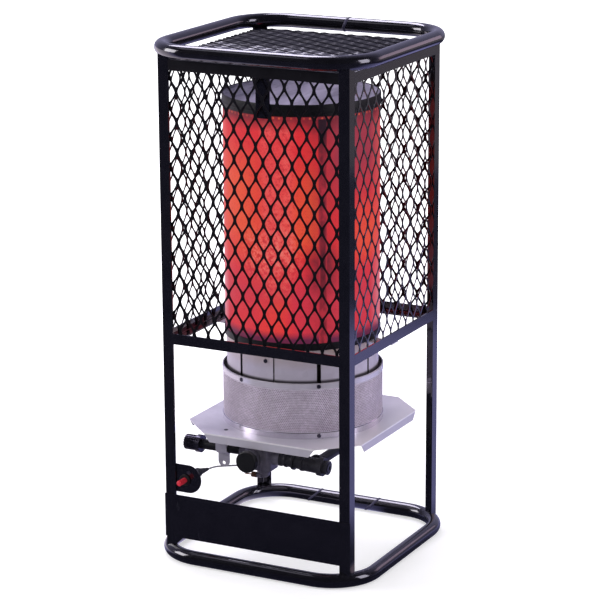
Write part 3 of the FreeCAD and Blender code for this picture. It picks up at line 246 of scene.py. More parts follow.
def refined(node, material, bevel):
    """The CAD node's own shape with its triangles merged and its edges rounded."""
    bm = bmesh.new()
    bm.from_mesh(nodes[node].data)
    bmesh.ops.remove_doubles(bm, verts=bm.verts, dist=MERGE_WITHIN)
    bmesh.ops.dissolve_limit(bm, angle_limit=math.radians(FLAT_ANGLE), verts=bm.verts, edges=bm.edges)
    sharp = []
    for edge in bm.edges:
        if len(edge.link_faces) == 2 and edge.calc_face_angle(0.0) > math.radians(SHARP_ANGLE):
            sharp.append(edge)
    bmesh.ops.bevel(
        bm, geom=sharp, offset=bevel, offset_type="OFFSET", segments=2, profile=0.5, affect="EDGES",
        clamp_overlap=True, miter_outer="ARC")
    piece = from_bmesh(node + "_finished", bm, smooth_angle=40.0)
    weighted = piece.modifiers.new("normals", "WEIGHTED_NORMAL")
    weighted.keep_sharp = True
    dress(piece, node, material)


def bridge(bm, loops, closed=False):
    """Faces from each loop of points to the next and, if closed, from the last to the first."""
    following = loops[1:] + loops[:1] if closed else loops[1:]
    for lower, upper in zip(loops, following):
        for index in range(len(lower)):
            after = (index + 1) % len(lower)
            corners = (lower[index], lower[after], upper[after], upper[index])
            bm.faces.new(list(dict.fromkeys(corners)))


def turned(name, profile):
    """An outline of radii and heights in millimetres, turned once round the heater's axis."""
    bm = bmesh.new()
    rings = []
    for radius, height in profile:
        if radius == 0:
            rings.append([bm.verts.new((0, 0, height * MM))] * TURN_STEPS)
            continue
        ring = []
        for step in range(TURN_STEPS):
            angle = 2 * math.pi * step / TURN_STEPS
            x = radius * MM * math.cos(angle)
            y = radius * MM * math.sin(angle)
            ring.append(bm.verts.new((x, y, height * MM)))
        rings.append(ring)
    bridge(bm, rings, closed=profile[0][0] > 0 and profile[-1][0] > 0)
    return from_bmesh(name, bm, smooth_angle=32.0)


# Expanded metal: each cell is one opening and the half strands round it

def gap_outline(sheet):
    """One opening's outline, from its right side anticlockwise, with the cell's edge beside each point."""
    quarter = []
    wide = (sheet.short - sheet.bond) / 2
    tall = (sheet.long - BOND_LENGTH) / 2
    for step in range(NET_STEPS):
        part = step / NET_STEPS
        inner = (wide * (1 - part ** GAP_BULGE), tall * part)
        outer = (sheet.short / 2 * (1 - part), sheet.long / 2 * part)
        quarter.append((inner, outer))
    tip = ((0.0, tall), (0.0, sheet.long / 2))
    left = [((-inner[0], inner[1]), (-outer[0], outer[1])) for inner, outer in reversed(quarter)]
    upper = quarter + [tip] + left
    lower = [((inner[0], -inner[1]), (outer[0], -outer[1])) for inner, outer in reversed(upper[1:-1])]
    return upper + lower


def net_cell(bm, sheet, outline, u, v):
    """One opening at a place on the sheet: the metal round it on both faces, and the opening's wall."""

    def vertex(point, lift):
        across = u + point[0]
        return bm.verts.new((across, v + point[1] + sheet.skew * across, lift))

    faces = []
    for level in (NET_SHEET / 2, -NET_SHEET / 2):
        edges = []
        for inner, outer in outline:
            lean = max(-1.0, min(1.0, LEAN_RATE * inner[0] / (sheet.short - sheet.bond)))
            edges.append((vertex(inner, sheet.raised * lean + level), vertex(outer, level)))
        faces.append(edges)
    front, back = faces
    for index in range(len(outline)):
        after = (index + 1) % len(outline)
        bm.faces.new((front[index][0], front[index][1], front[after][1], front[after][0]))
        bm.faces.new((back[index][0], back[after][0], back[after][1], back[index][1]))
        bm.faces.new((front[after][0], back[after][0], back[index][0], front[index][0]))


def net(node, place, low, high, material):
    """Expanded metal on a plane: place(u, v, w) gives a point, and low and high are the sheet's corners."""
    sheet = NETS[node]
    outline = gap_outline(sheet)
    bm = bmesh.new()
    half_long = sheet.long / 2
    first_row = math.floor((low[1] - sheet.first_v) / half_long) - 2
    last_row = math.ceil((high[1] - sheet.first_v) / half_long) + 2
    first_column = math.floor((low[0] - sheet.first_u) / sheet.short) - 1
    last_column = math.ceil((high[0] - sheet.first_u) / sheet.short) + 1
    for row in range(first_row, last_row + 1):
        for column in range(first_column, last_column + 1):
            u = sheet.first_u + (column + row % 2 / 2) * sheet.short
            net_cell(bm, sheet, outline, u, sheet.first_v + row * half_long)
    bmesh.ops.remove_doubles(bm, verts=bm.verts, dist=NET_JOIN)
    for way in (Vector((1, 0, 0)), Vector((0, 1, 0))):
        for corner, sign in ((high, 1), (low, -1)):
            cut = bmesh.ops.bisect_plane(
                bm, geom=bm.verts[:] + bm.edges[:] + bm.faces[:], plane_co=Vector((*corner, 0)),
                plane_no=sign * way, clear_outer=True)
            edges = [item for item in cut["geom_cut"] if isinstance(item, bmesh.types.BMEdge)]
            bmesh.ops.holes_fill(bm, edges=edges, sides=0)
    for vertex in bm.verts:
        vertex.co = place(*vertex.co)
    dress(from_bmesh(node + "_mesh", bm, smooth_angle=50.0), node, material)


# Finishes

class Nodes:
    """A node tree, built by naming what feeds what. Each call gives back an output socket."""

    def __init__(self, tree, coordinates):
        self.tree = tree
        self.tree.nodes.clear()
        self.place = self.node("ShaderNodeTexCoord").outputs[coordinates]

    def node(self, kind, values=None, **settings):
        """Add one node; values are its input sockets' values or the sockets that feed them."""
        made = self.tree.nodes.new(kind)
        for key, value in settings.items():
            setattr(made, key, value)
        for key, value in (values or {}).items():
            self.feed(made.inputs[key], value)
        return made

    def feed(self, socket, value):
        """Set a socket's value, or link another socket to it."""
        if isinstance(value, bpy.types.NodeSocket):
            self.tree.links.new(value, socket)
        elif isinstance(value, tuple) and len(value) == 3 and socket.type == "RGBA":
            socket.default_value = (*value, 1.0)
        else:
            socket.default_value = value

    def math(self, operation, a, b=0.0, c=0.0, clamp=False):
        """A sum on numbers."""
        made = self.node("ShaderNodeMath", {0: a, 1: b, 2: c}, operation=operation, use_clamp=clamp)
        return made.outputs[0]

    def product(self, *parts):
        """Several amounts multiplied."""
        made = parts[0]
        for part in parts[1:]:
            made = self.math("MULTIPLY", made, part)
        return made

    def most(self, *parts):
        """The largest of several amounts."""
        made = parts[0]
        for part in parts[1:]:
            made = self.math("MAXIMUM", made, part)
        return made

    def rest(self, part):
        """What an amount leaves of 1."""
        return self.math("SUBTRACT", 1.0, part)

    def away(self, value, centre):
        """How far a number is from another."""
        return self.math("ABSOLUTE", self.math("SUBTRACT", value, centre))

    def noise(self, scale, detail=3.0, roughness=0.55, stretch=None):
        """Cloudy noise from 0 to 1; scale is in lumps per metre."""
        where = self.place
        if stretch:
            where = self.node("ShaderNodeMapping", {"Vector": where, "Scale": stretch}).outputs[0]
        values = {"Vector": where, "Scale": scale, "Detail": detail, "Roughness": roughness}
        return self.node("ShaderNodeTexNoise", values).outputs["Fac"]

    def flakes(self, scale):
        """A level of its own for each of many small cells."""
        colour = self.node("ShaderNodeTexVoronoi", {"Vector": self.place, "Scale": scale}).outputs["Color"]
        return self.node("ShaderNodeSeparateColor", {0: colour}).outputs[0]

    def ramp(self, value, low, high, to_low=0.0, to_high=1.0):
        """A number carried from one range to another, held at its ends."""
        values = {"Value": value, "From Min": low, "From Max": high, "To Min": to_low, "To Max": to_high}
        return self.node("ShaderNodeMapRange", values).outputs[0]

    def mix(self, amount, a, b, mode="MIX"):
        """One colour turned into another."""
        made = self.node("ShaderNodeMix", data_type="RGBA", blend_type=mode)
        self.feed(made.inputs[0], amount)
        self.feed(made.inputs[6], a)
        self.feed(made.inputs[7], b)
        return made.outputs[2]

    def bump(self, height, distance, strength=1.0, normal=None):
        """Relief: distance is how deep a height of 1 is, in metres."""
        values = {"Height": height, "Distance": distance, "Strength": strength}
        if normal:
            values["Normal"] = normal
        return self.node("ShaderNodeBump", values).outputs[0]

    def part(self, vector, index):
        """One coordinate of a vector."""
        return self.node("ShaderNodeSeparateXYZ", {0: vector}).outputs[index]

    def axis(self, index):
        """One coordinate of the place."""
        return self.part(self.place, index)

    def normal(self):
        """The way a surface faces."""
        return self.node("ShaderNodeNewGeometry").outputs["Normal"]

    def upward(self):
        """How far a surface faces up, from -1 to 1."""
        return self.part(self.normal(), 2)

    def outward(self):
        """1 on faces that look away from the heater's axis, 0 on those that look at it."""
        normal = self.normal()
        along = self.node("ShaderNodeVectorMath", {0: normal, 1: self.place}, operation="DOT_PRODUCT")
        level = self.product(self.part(normal, 2), self.axis(2))
        return self.ramp(self.math("SUBTRACT", along.outputs["Value"], level), 0.0, 0.02)

    def azimuth(self):
        """The angle round the heater's axis, from the front towards +X, in radians."""
        return self.math("ARCTAN2", self.axis(0), self.product(self.axis(1), -1.0))

    def holes(self, radius, pitch, size):
        """1 in staggered round holes on an upright cylinder and 0 between them."""
        across = self.product(self.azimuth(), radius / pitch)
        up = self.math("DIVIDE", self.axis(2), pitch * math.sqrt(0.75))
        shift = self.product(self.math("MODULO", self.math("FLOOR", up), 2.0), 0.5)
        du = self.math("SUBTRACT", self.math("FRACT", self.math("ADD", across, shift)), 0.5)
        dv = self.product(self.math("SUBTRACT", self.math("FRACT", up), 0.5), math.sqrt(0.75))
        far = self.math("SQRT", self.math("ADD", self.product(du, du), self.product(dv, dv)))
        edge = size / pitch / 2
        return self.ramp(far, edge * 1.25, edge * 0.75)


class Finish(Nodes):
    """A material that lies in the object's own coordinates."""

    def __init__(self, name):
        self.material = bpy.data.materials.new(name)
        self.material.use_nodes = True
        super().__init__(self.material.node_tree, "Object")

    def output(self, shader):
        """Send a shader to the surface, and give back the material."""
        self.node("ShaderNodeOutputMaterial", {0: shader.outputs[0]})
        return self.material

    def finish(self, **values):
        """The surface itself; the names are the shader's sockets with underscores for spaces."""
        named = {key.replace("_", " "): value for key, value in values.items()}
        return self.output(self.node("ShaderNodeBsdfPrincipled", named))


def enamel(name, deep, sheen, rough, dust_and_sheen_level=0.1, coat=1.0, index=1.45, fade=False):
    """Black enamel with orange peel, dust and a painted lilac sheen on what faces up, and scuffs. It may be
    dull towards the rear.
    """
    look = Finish(name)
    cloud = look.noise(38.0, 4.0)
    colour = look.mix(look.ramp(cloud, 0.35, 0.7), deep, sheen)
    # Dust and painted sheen: what faces up is lightened towards lilac, as dust and as the light it catches
    # from above
    lying = look.ramp(look.upward(), 0.55, 0.98)
    dust_and_sheen = look.product(lying, look.ramp(look.noise(260.0, 5.0), 0.45, 0.75), dust_and_sheen_level)
    specular = 0.5
    # Towards the rear the coat, the gloss, and the dust and painted sheen fade out: a painted dimming of
    # the light the strands catch
    if fade:
        border = look.math("ADD", look.axis(1), look.ramp(cloud, 0.3, 0.7, -0.03, 0.03))
        coat = look.ramp(border, 0.0, -0.07, 0.03, 1.0)
        dust_and_sheen = look.product(dust_and_sheen, coat)
        specular = look.math("MULTIPLY_ADD", coat, 0.42, 0.08)
    colour = look.mix(dust_and_sheen, colour, (0.30, 0.29, 0.42))
    scuff = look.ramp(look.noise(90.0, 6.0, 0.7, stretch=(1.0, 1.0, 0.15)), 0.66, 0.74)
    colour = look.mix(look.product(scuff, 0.05), colour, (0.22, 0.21, 0.26))
    roughness = look.ramp(look.noise(140.0, 4.0), 0.3, 0.75, *rough)
    roughness = look.math("ADD", roughness, look.product(scuff, 0.16))
    peel = look.bump(look.noise(420.0, 2.0), 0.00002)
    relief = look.bump(look.noise(45.0, 2.0), 0.00006, normal=peel)
    return look.finish(
        Base_Color=colour, Roughness=roughness, Normal=relief, IOR=index,
        Specular_Tint=(0.84, 0.80, 1.0, 1.0), Specular_IOR_Level=specular,
        Coat_Weight=coat, Coat_IOR=1.65, Coat_Roughness=0.05, Coat_Normal=relief)


# The emitter's hotter patches: bearing, and half widths of core and whole, in degrees; the heights above
# the tube's foot, in millimetres, where a patch ends and is full, above and below; and its strength
HOT_PATCHES = (
    (-32.0, 12.0, 40.0, (355.0, 275.0), (120.0, 200.0), 1.0),
    (26.0, 6.0, 20.0, (320.0, 240.0), (140.0, 180.0), 0.85),
    (84.0, 10.0, 34.0, (260.0, 190.0), (120.0, 160.0), 0.75),
)

# The emitter's sheet: how far the rim covers its top, its holes, and the pitch of the sparks below the rim
RIM_COVER = 12 * MM
EMITTER_HOLES = {"pitch": 2.8 * MM, "size": 1.6 * MM}
SPARK_PITCH = 10 * MM


def glowing_screen():
    """The perforated emitter: orange at mid height, crimson at its ends, mottled, with fine dark holes."""
    look = Finish("emitter_glow")
    z = look.axis(2)
    turn = look.azimuth()
    low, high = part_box("emitter_tube")
    top = high.z - RIM_COVER
    blotch = look.noise(30.0, 4.0, 0.65)
    mottle = look.noise(170.0, 4.0, 0.72)
    streak = look.noise(12.0, 3.0, 0.55, stretch=(1.0, 1.0, 0.3))

    def lobe(bearing, inner, outer):
        """1 within an angle of a bearing, in degrees, and 0 beyond another."""
        return look.ramp(look.away(turn, math.radians(bearing)), math.radians(outer), math.radians(inner))

    def level(start, end, least=0.0):
        """The least at one height above the tube's foot, in millimetres, and 1 at another."""
        return look.ramp(z, low.z + start * MM, low.z + end * MM, least)

    heat = 0.0
    for bearing, inner, outer, above, below, strength in HOT_PATCHES:
        patch = look.product(lobe(bearing, inner, outer), level(*above), level(*below), strength)
        heat = look.most(heat, patch)
    heat = look.math("ADD", heat, look.ramp(streak, 0.3, 0.7, -0.22, 0.22))
    heat = look.math("ADD", heat, look.ramp(blotch, 0.3, 0.7, -0.14, 0.14), clamp=True)
    colour = look.mix(level(90.0, 150.0), (0.60, 0.034, 0.062), (0.70, 0.026, 0.034))
    foot_glow = look.product(level(90.0, 45.0), look.ramp(streak, 0.4, 0.6), 0.7)
    colour = look.mix(foot_glow, colour, (0.78, 0.038, 0.036))
    colour = look.mix(heat, colour, (0.80, 0.090, 0.034))

    # The pale column in front, a painted highlight for the glare the sheet reflects, and the bright specks
    # round it
    pale = look.product(lobe(9.0, 9.0, 15.0), look.ramp(blotch, 0.35, 0.6, 0.45, 1.0), level(75.0, 140.0))
    colour = look.mix(look.product(pale, 0.8), colour, (0.78, 0.078, 0.082))
    spread = look.most(pale, look.product(lobe(2.0, 10.0, 28.0), level(205.0, 180.0), level(105.0, 135.0)))
    speck = look.product(spread, look.ramp(mottle, 0.47, 0.6), level(240.0, 170.0, 0.3))
    colour = look.mix(look.product(speck, 0.6), colour, (0.88, 0.25, 0.20))
    pit = look.product(look.ramp(mottle, 0.46, 0.36), look.math("MULTIPLY_ADD", spread, 0.5, 0.3))
    colour = look.mix(pit, colour, (0.40, 0.014, 0.024))

    # The dull upper right, the whitish sides as a painted reflection of the white backdrop at grazing
    # angles, the holes and the dark lap of the seam
    dim = look.product(lobe(90.0, 36.0, 50.0), level(220.0, 310.0))
    colour = look.mix(look.product(dim, 0.8), colour, (0.20, 0.028, 0.060))
    sides = look.most(lobe(-66.0, 12.0, 25.0), look.product(lobe(112.0, 10.0, 26.0), 0.6))
    side_reflection_colour = look.mix(level(180.0, 70.0), (0.78, 0.105, 0.092), (0.78, 0.30, 0.37))
    colour = look.mix(look.product(sides, 0.9), colour, side_reflection_colour)
    hole = look.holes(high.x, **EMITTER_HOLES)
    colour = look.mix(look.product(hole, 0.4), colour, (0.40, 0.012, 0.018))
    lap = look.most(look.product(level(70.0, 115.0), level(185.0, 145.0)), level(320.0, 380.0), 0.3)
    lap = look.product(lobe(42.0, 6.0, 15.0), look.ramp(blotch, 0.3, 0.6, 0.45, 1.0), lap)
    colour = look.mix(look.product(lap, 0.95), colour, (0.10, 0.010, 0.022))

    # The dark top with its row of sparks, and the cold foot
    ember = look.ramp(z, top - 26 * MM, top - 4 * MM)
    ember = look.product(ember, look.ramp(blotch, 0.3, 0.6, 0.6, 0.95))
    colour = look.mix(ember, colour, (0.13, 0.010, 0.020))
    across = look.math("FRACT", look.product(turn, high.x / SPARK_PITCH))
    across = look.product(look.math("SUBTRACT", across, 0.5), SPARK_PITCH)
    up = look.math("SUBTRACT", z, top - 1.5 * MM)
    far = look.math("SQRT", look.math("ADD", look.product(across, across), look.product(up, up)))
    lit = look.ramp(look.noise(60.0, 2.0), 0.4, 0.6, 0.2, 0.9)
    spark = look.product(look.ramp(far, 2.4 * MM, 1.2 * MM), lit)
    colour = look.mix(spark, colour, (0.62, 0.09, 0.04))
    colour = look.mix(look.product(level(27.0, 14.0), 0.9), colour, (0.06, 0.012, 0.05))
    return look.finish(
        Base_Color=(0.05, 0.012, 0.014), Roughness=0.5, Metallic=0.2, Normal=look.bump(hole, -0.0003, 0.6),
        Emission_Color=colour, Emission_Strength=look.product(look.outward(), 0.98))


def seam_cover():
    """The emitter's lapped seam: dark scale with the glow showing through in patches below its top."""
    look = Finish("seam_cover")
    low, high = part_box("emitter_seam_strip")
    z = look.axis(2)
    dark_height = low.z + 126 * MM
    level = look.ramp(z, high.z - 15 * MM, high.z - 80 * MM, 0.03, 1.0)
    deep = look.ramp(look.away(z, dark_height), 30 * MM, 75 * MM, 0.35, 1.0)
    patch = look.ramp(look.noise(60.0, 5.0, 0.65, stretch=(1.0, 1.0, 0.6)), 0.34, 0.6, 0.1, 1.0)
    middle = math.atan2((low.x + high.x) / 2, -(low.y + high.y) / 2)
    border = look.ramp(look.away(look.azimuth(), middle), math.radians(0.9), math.radians(2.6))
    amount = look.most(look.product(patch, level, deep), look.product(border, level, 0.85))
    glow = look.mix(amount, (0.012, 0.004, 0.010), (0.46, 0.026, 0.044))
    relief = look.bump(look.noise(260.0, 3.0), 0.00015)
    return look.finish(
        Base_Color=(0.012, 0.008, 0.012), Roughness=0.5, Normal=relief, Emission_Color=glow,
        Emission_Strength=0.9)


def sheet_zinc(name, light, dark, rough, metallic, stain_top=None, gap_at=None, plate_top=None):
    """Galvanised sheet with spangle, a cloudy film and brushing, and a painted highlight on its folds.

    It may have a heat stain up to a height, a painted shadow in the air screen's gap, or a plate's flanges
    in painted shade with a painted highlight under their fold and painted light on the top's right side.
    """
    look = Finish(name)
    z = look.axis(2)
    upward = look.upward()
    grain = look.flakes(95.0)
    film = look.noise(20.0, 4.0)
    tone = look.math("ADD", look.product(grain, 0.22), look.product(film, 0.8), clamp=True)
    colour = look.mix(tone, dark, light)
    if stain_top:
        stain = look.ramp(z, stain_top - 40 * MM, stain_top)
        stain = look.product(stain, look.ramp(look.noise(16.0, 3.0), 0.3, 0.7, 0.35, 1.0))
        colour = look.mix(stain, colour, (0.62, 0.44, 0.34))
    mark = look.ramp(look.noise(75.0, 6.0, 0.75), 0.68, 0.8)
    colour = look.mix(look.product(mark, 0.1), colour, (0.34, 0.32, 0.38))
    # Painted highlight: faces turned partway up, round the folds, are lightened and made less metallic
    fold_highlight = look.product(look.ramp(upward, 0.12, 0.3), look.ramp(upward, 0.99, 0.93))
    colour = look.mix(fold_highlight, colour, (0.97, 0.94, 1.0))
    metallic = look.math("MULTIPLY_ADD", fold_highlight, -metallic, metallic)
    # Painted shade on the plate's flanges, a painted highlight along their top under the fold, and painted
    # light on the right of the plate's top
    if plate_top:
        lip = look.ramp(z, plate_top - 3.4 * MM, plate_top - 1.6 * MM)
        flange_light_and_shade = look.mix(lip, (0.50, 0.47, 0.54), (1.0, 0.97, 1.0))
        share = look.product(look.ramp(upward, 0.5, 0.2), look.math("MULTIPLY_ADD", lip, 0.45, 0.45))
        colour = look.mix(share, colour, flange_light_and_shade)
        bright = look.product(look.ramp(look.axis(0), 70 * MM, 150 * MM), look.ramp(upward, 0.3, 0.6))
        colour = look.mix(look.product(bright, 0.85), colour, (0.99, 0.96, 1.0))
    # Painted shadow: the can goes dark just above the air screen's top, where the gap between them lies in
    # shade
    if gap_at:
        gap_shadow = look.ramp(z, gap_at + 4.5 * MM, gap_at + 1.0 * MM)
        colour = look.mix(look.product(gap_shadow, 0.93), colour, (0.03, 0.025, 0.03))
        metallic = look.product(metallic, look.rest(gap_shadow))
    roughness = look.ramp(look.math("ADD", look.product(grain, 0.3), film), 0.3, 1.0, *rough)
    fine = look.bump(look.noise(700.0, 3.0, stretch=(1.0, 1.0, 0.2)), 0.00003)
    relief = look.bump(look.noise(22.0, 2.0), 0.00015, normal=fine)
    return look.finish(Base_Color=colour, Metallic=metallic, Roughness=roughness, Normal=relief)


# The air screen: its plain bands and its holes
SCREEN_BAND = 10.5 * MM
SCREEN_HOLES = {"pitch": 3.3 * MM, "size": 2.0 * MM}


def perforated_sheet():
    """The air screen: rows of fine round holes between plain bright bands."""
    look = Finish("perforated_steel")
    low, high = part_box("air_screen")
    foot = low.z + SCREEN_BAND
    head = high.z - SCREEN_BAND
    z = look.axis(2)
    inside = look.product(look.ramp(z, foot, foot + MM), look.ramp(z, head, head - MM))
    hole = look.product(look.holes(high.x, **SCREEN_HOLES), inside)
    film = look.ramp(look.noise(24.0, 4.0), 0.3, 0.7)
    sheet = look.mix(film, (0.60, 0.525, 0.63), (0.94, 0.84, 0.98))
    speck = look.ramp(look.noise(330.0, 3.0, 0.7), 0.35, 0.65)
    sheet = look.mix(speck, sheet, (0.80, 0.74, 0.82), "MULTIPLY")
    sheet = look.mix(0.2, sheet, (0.66, 0.59, 0.69))
    blotch = look.ramp(look.noise(200.0, 3.0, 0.7), 0.42, 0.62)
    sheet = look.mix(look.product(blotch, 0.4), sheet, (0.36, 0.31, 0.38))
    warm = look.ramp(look.noise(60.0, 5.0, 0.7), 0.58, 0.72)
    sheet = look.mix(look.product(warm, 0.3), sheet, (0.46, 0.35, 0.36))
    sheet = look.mix(look.product(hole, 0.68), sheet, (0.08, 0.065, 0.085))
    brushed = look.noise(36.0, 4.0, 0.6, stretch=(1.0, 1.0, 0.3))
    band = look.mix(brushed, (0.60, 0.54, 0.64), (0.95, 0.91, 1.0))
    metallic = look.product(look.ramp(inside, 0.0, 1.0, 1.0, 0.25), look.ramp(z, foot, head, 0.8, 0.45))
    return look.finish(
        Base_Color=look.mix(inside, band, sheet), Metallic=metallic,
        Roughness=look.ramp(inside, 0.0, 1.0, 0.22, 0.42), Normal=look.bump(hole, -0.0006, 0.8))


def plain(name, light, dark, metallic, rough, depth=0.00006):
    """A two tone finish with clouded roughness and a fine relief, for castings, plating and mouldings."""
    look = Finish(name)
    cloud = look.noise(36.0, 4.0)
    tone = look.math("ADD", look.product(cloud, 0.7), look.product(look.noise(180.0, 5.0, 0.65), 0.3))
    colour = look.mix(look.ramp(tone, 0.35, 0.65), dark, light)
    grime = look.ramp(look.noise(90.0, 6.0, 0.75), 0.62, 0.72)
    colour = look.mix(look.product(grime, 0.3), colour, tuple(channel * 0.35 for channel in dark))
    return look.finish(
        Base_Color=colour, Metallic=metallic, Roughness=look.ramp(cloud, 0.3, 0.7, *rough),
        Normal=look.bump(look.noise(540.0, 3.0), depth))


def cap_sheet():
    """The emitter's cap: heat dulled zinc with dark streaks, darkest on its left, painted as the nets'
    reflection.
    """
    look = Finish("cap_steel")
    film = look.noise(26.0, 4.0, stretch=(1.0, 0.22, 1.0))
    colour = look.mix(look.ramp(film, 0.3, 0.7), (0.34, 0.30, 0.42), (0.58, 0.52, 0.68))
    # Painted reflection of the dark nets: the cap darkens on its left, and dark streaks cross it, heaviest
    # there
    left = look.ramp(look.axis(0), -20 * MM, -80 * MM)
    colour = look.mix(look.product(left, 0.65), colour, (0.07, 0.06, 0.12))
    scale = look.ramp(look.noise(80.0, 5.0, 0.65, stretch=(1.0, 0.22, 1.0)), 0.50, 0.60)
    scale = look.product(scale, look.math("MULTIPLY_ADD", left, 0.65, 0.25))
    colour = look.mix(scale, colour, (0.05, 0.045, 0.075))
    relief = look.bump(look.noise(60.0, 2.0, stretch=(1.0, 0.3, 1.0)), 0.00004)
    return look.finish(
        Base_Color=colour, Metallic=0.35, Roughness=look.ramp(film, 0.3, 0.7, 0.42, 0.58), Normal=relief)


# Enamels: their colours where deep and where thin, their least and most roughness, and what isn't as usual
NET_BLACK = {"deep": (0.0030, 0.0028, 0.0038), "sheen": (0.0060, 0.0056, 0.0080)}
ENAMELS = {
    "black_paint": {
        "deep": (0.0030, 0.0030, 0.0040), "sheen": (0.0055, 0.0053, 0.0075), "rough": (0.14, 0.24)},
    "net_paint": {**NET_BLACK, "rough": (0.2, 0.32), "dust_and_sheen_level": 0.3},
    "net_dull": {**NET_BLACK, "rough": (0.5, 0.62), "coat": 0.0, "index": 1.3},
    # The top net: a lighter, bluer copy of the nets' paint with more dust and painted sheen, painted light
    # on its strands that fades towards the rear
    "net_top": {
        "deep": (0.0060, 0.0056, 0.0100), "sheen": (0.0140, 0.0130, 0.0230), "rough": (0.3, 0.44),
        "dust_and_sheen_level": 0.55, "fade": True},
    "weld_paint": {
        "deep": (0.035, 0.032, 0.060), "sheen": (0.075, 0.070, 0.125), "rough": (0.42, 0.55), "coat": 0.0},
}

# Galvanised sheets, each with what isn't like the plain one
SHEET = {"light": (0.82, 0.785, 0.89), "dark": (0.66, 0.63, 0.72), "rough": (0.32, 0.42), "metallic": 0.4}
ZINCS = {
    "galvanised": SHEET,
    "plate_zinc": {**SHEET, "plate_top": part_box("base_plate")[1].z},
    # The pipe clip: a darker copy of the sheet, painted shade for its place under the plate
    "clip_zinc_shaded": {**SHEET, "light": (0.50, 0.47, 0.56), "dark": (0.32, 0.30, 0.37), "rough": (0.3, 0.42)},
    "can_zinc": {
        "light": (0.72, 0.66, 0.78), "dark": (0.54, 0.49, 0.59), "rough": (0.26, 0.4), "metallic": 0.25,
        "stain_top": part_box("burner_can")[1].z, "gap_at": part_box("air_screen")[1].z},
}

# Plain finishes: light and dark colour, how metallic, least and most roughness, and depth if not the usual
PLAINS = {
    "cast_iron": ((0.042, 0.040, 0.052), (0.016, 0.015, 0.02), 0.3, (0.26, 0.4), 0.0001),
    "heat_black": ((0.0095, 0.009, 0.0115), (0.005, 0.005, 0.0065), 0.0, (0.4, 0.55)),
    "burner_iron": ((0.16, 0.13, 0.12), (0.07, 0.06, 0.06), 0.5, (0.5, 0.75)),
    "black_iron": ((0.014, 0.013, 0.018), (0.005, 0.005, 0.007), 0.2, (0.26, 0.42)),
    "cast_zinc": ((0.24, 0.22, 0.28), (0.11, 0.10, 0.135), 0.6, (0.28, 0.44), 0.00012),
    "nut_steel": ((0.13, 0.12, 0.16), (0.05, 0.047, 0.065), 0.9, (0.2, 0.34)),
    "brass": ((0.36, 0.20, 0.12), (0.20, 0.10, 0.06), 0.9, (0.28, 0.44)),
    "copper": ((0.30, 0.15, 0.10), (0.15, 0.07, 0.05), 0.8, (0.3, 0.5)),
    "screw_zinc": ((0.14, 0.13, 0.18), (0.05, 0.048, 0.07), 0.85, (0.28, 0.42)),
    "electrode_steel": ((0.42, 0.38, 0.34), (0.22, 0.19, 0.18), 0.85, (0.35, 0.55)),
    "ceramic": ((0.86, 0.84, 0.79), (0.76, 0.73, 0.67), 0.0, (0.12, 0.22)),
    "knob_plastic": ((0.0075, 0.0075, 0.009), (0.004, 0.004, 0.005), 0.0, (0.36, 0.5)),
    "igniter_plastic": ((0.012, 0.012, 0.014), (0.006, 0.006, 0.008), 0.0, (0.36, 0.55)),
    "red_plastic": ((0.74, 0.035, 0.06), (0.60, 0.02, 0.04), 0.0, (0.2, 0.32)),
    "boot_rubber": ((0.024, 0.024, 0.028), (0.014, 0.014, 0.017), 0.0, (0.45, 0.65)),
    "lead_silicone": ((0.36, 0.36, 0.40), (0.27, 0.27, 0.30), 0.0, (0.4, 0.55)),
}

# Pieces whose finish isn't their slot's
OWN = {
    "burner_can": "can_zinc", "base_plate": "plate_zinc", "pipe_clip": "clip_zinc_shaded",
    "emitter_seam_strip": "seam_cover", "top_rail_front": "net_dull",
}
for node in ("outlet_coupling", "outlet_tee", "outlet_nipple", "tee_plug"):
    OWN[node] = "cast_iron"


def finishes():
    """Every finish by its name."""
    made = {
        "emitter_glow": glowing_screen(),
        "seam_cover": seam_cover(),
        "cap_steel": cap_sheet(),
        "perforated_steel": perforated_sheet(),
    }
    for name, values in ENAMELS.items():
        made[name] = enamel(name, **values)
    for name, values in ZINCS.items():
        made[name] = sheet_zinc(name, **values)
    for name, values in PLAINS.items():
        made[name] = plain(name, *values)
    return made


look_of = finishes()


# Pieces

def make_nets():
    """Four side nets and the top net, at the real mesh size."""
    low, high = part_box("net_front")
    plane = (low.y + high.y) / 2
    for turns, side in enumerate(("front", "right", "rear", "left")):
        spin = Matrix.Rotation(math.radians(90 * turns), 3, "Z")

        def upright(u, v, w, spin=spin):
            return spin @ Vector((u, plane - w, v))

        paint = look_of["net_paint" if side == "right" else "net_dull"]
        net("net_" + side, upright, (-high.x, low.z), (high.x, high.z), paint)
    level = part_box("net_top")[0].z + NET_SHEET / 2 + abs(NETS["net_top"].raised)
    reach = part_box("top_rail_front")[1].x - TOP_NET_MARGIN

    def lying(u, v, w):
        return Vector((v, u, level + w))

    net("net_top", lying, (-reach, -reach), (reach, reach), look_of["net_top"])


def make_cap():
    """The emitter's rolled upper rim, with its bead, and the shallow cap pressed into it."""
    rim = [(RIM_RADIUS + out, RIM_FOOT + up) for out, up in RIM_SECTION]
    cap = [(RIM_RADIUS + out, RIM_FOOT + up) for out, up in CAP_SECTION]
    dress(turned("emitter_upper_rim_rolled", rim), "emitter_upper_rim", look_of["heat_black"])
    dress(turned("emitter_cap_pressed", cap), "emitter_cap", look_of["cap_steel"])


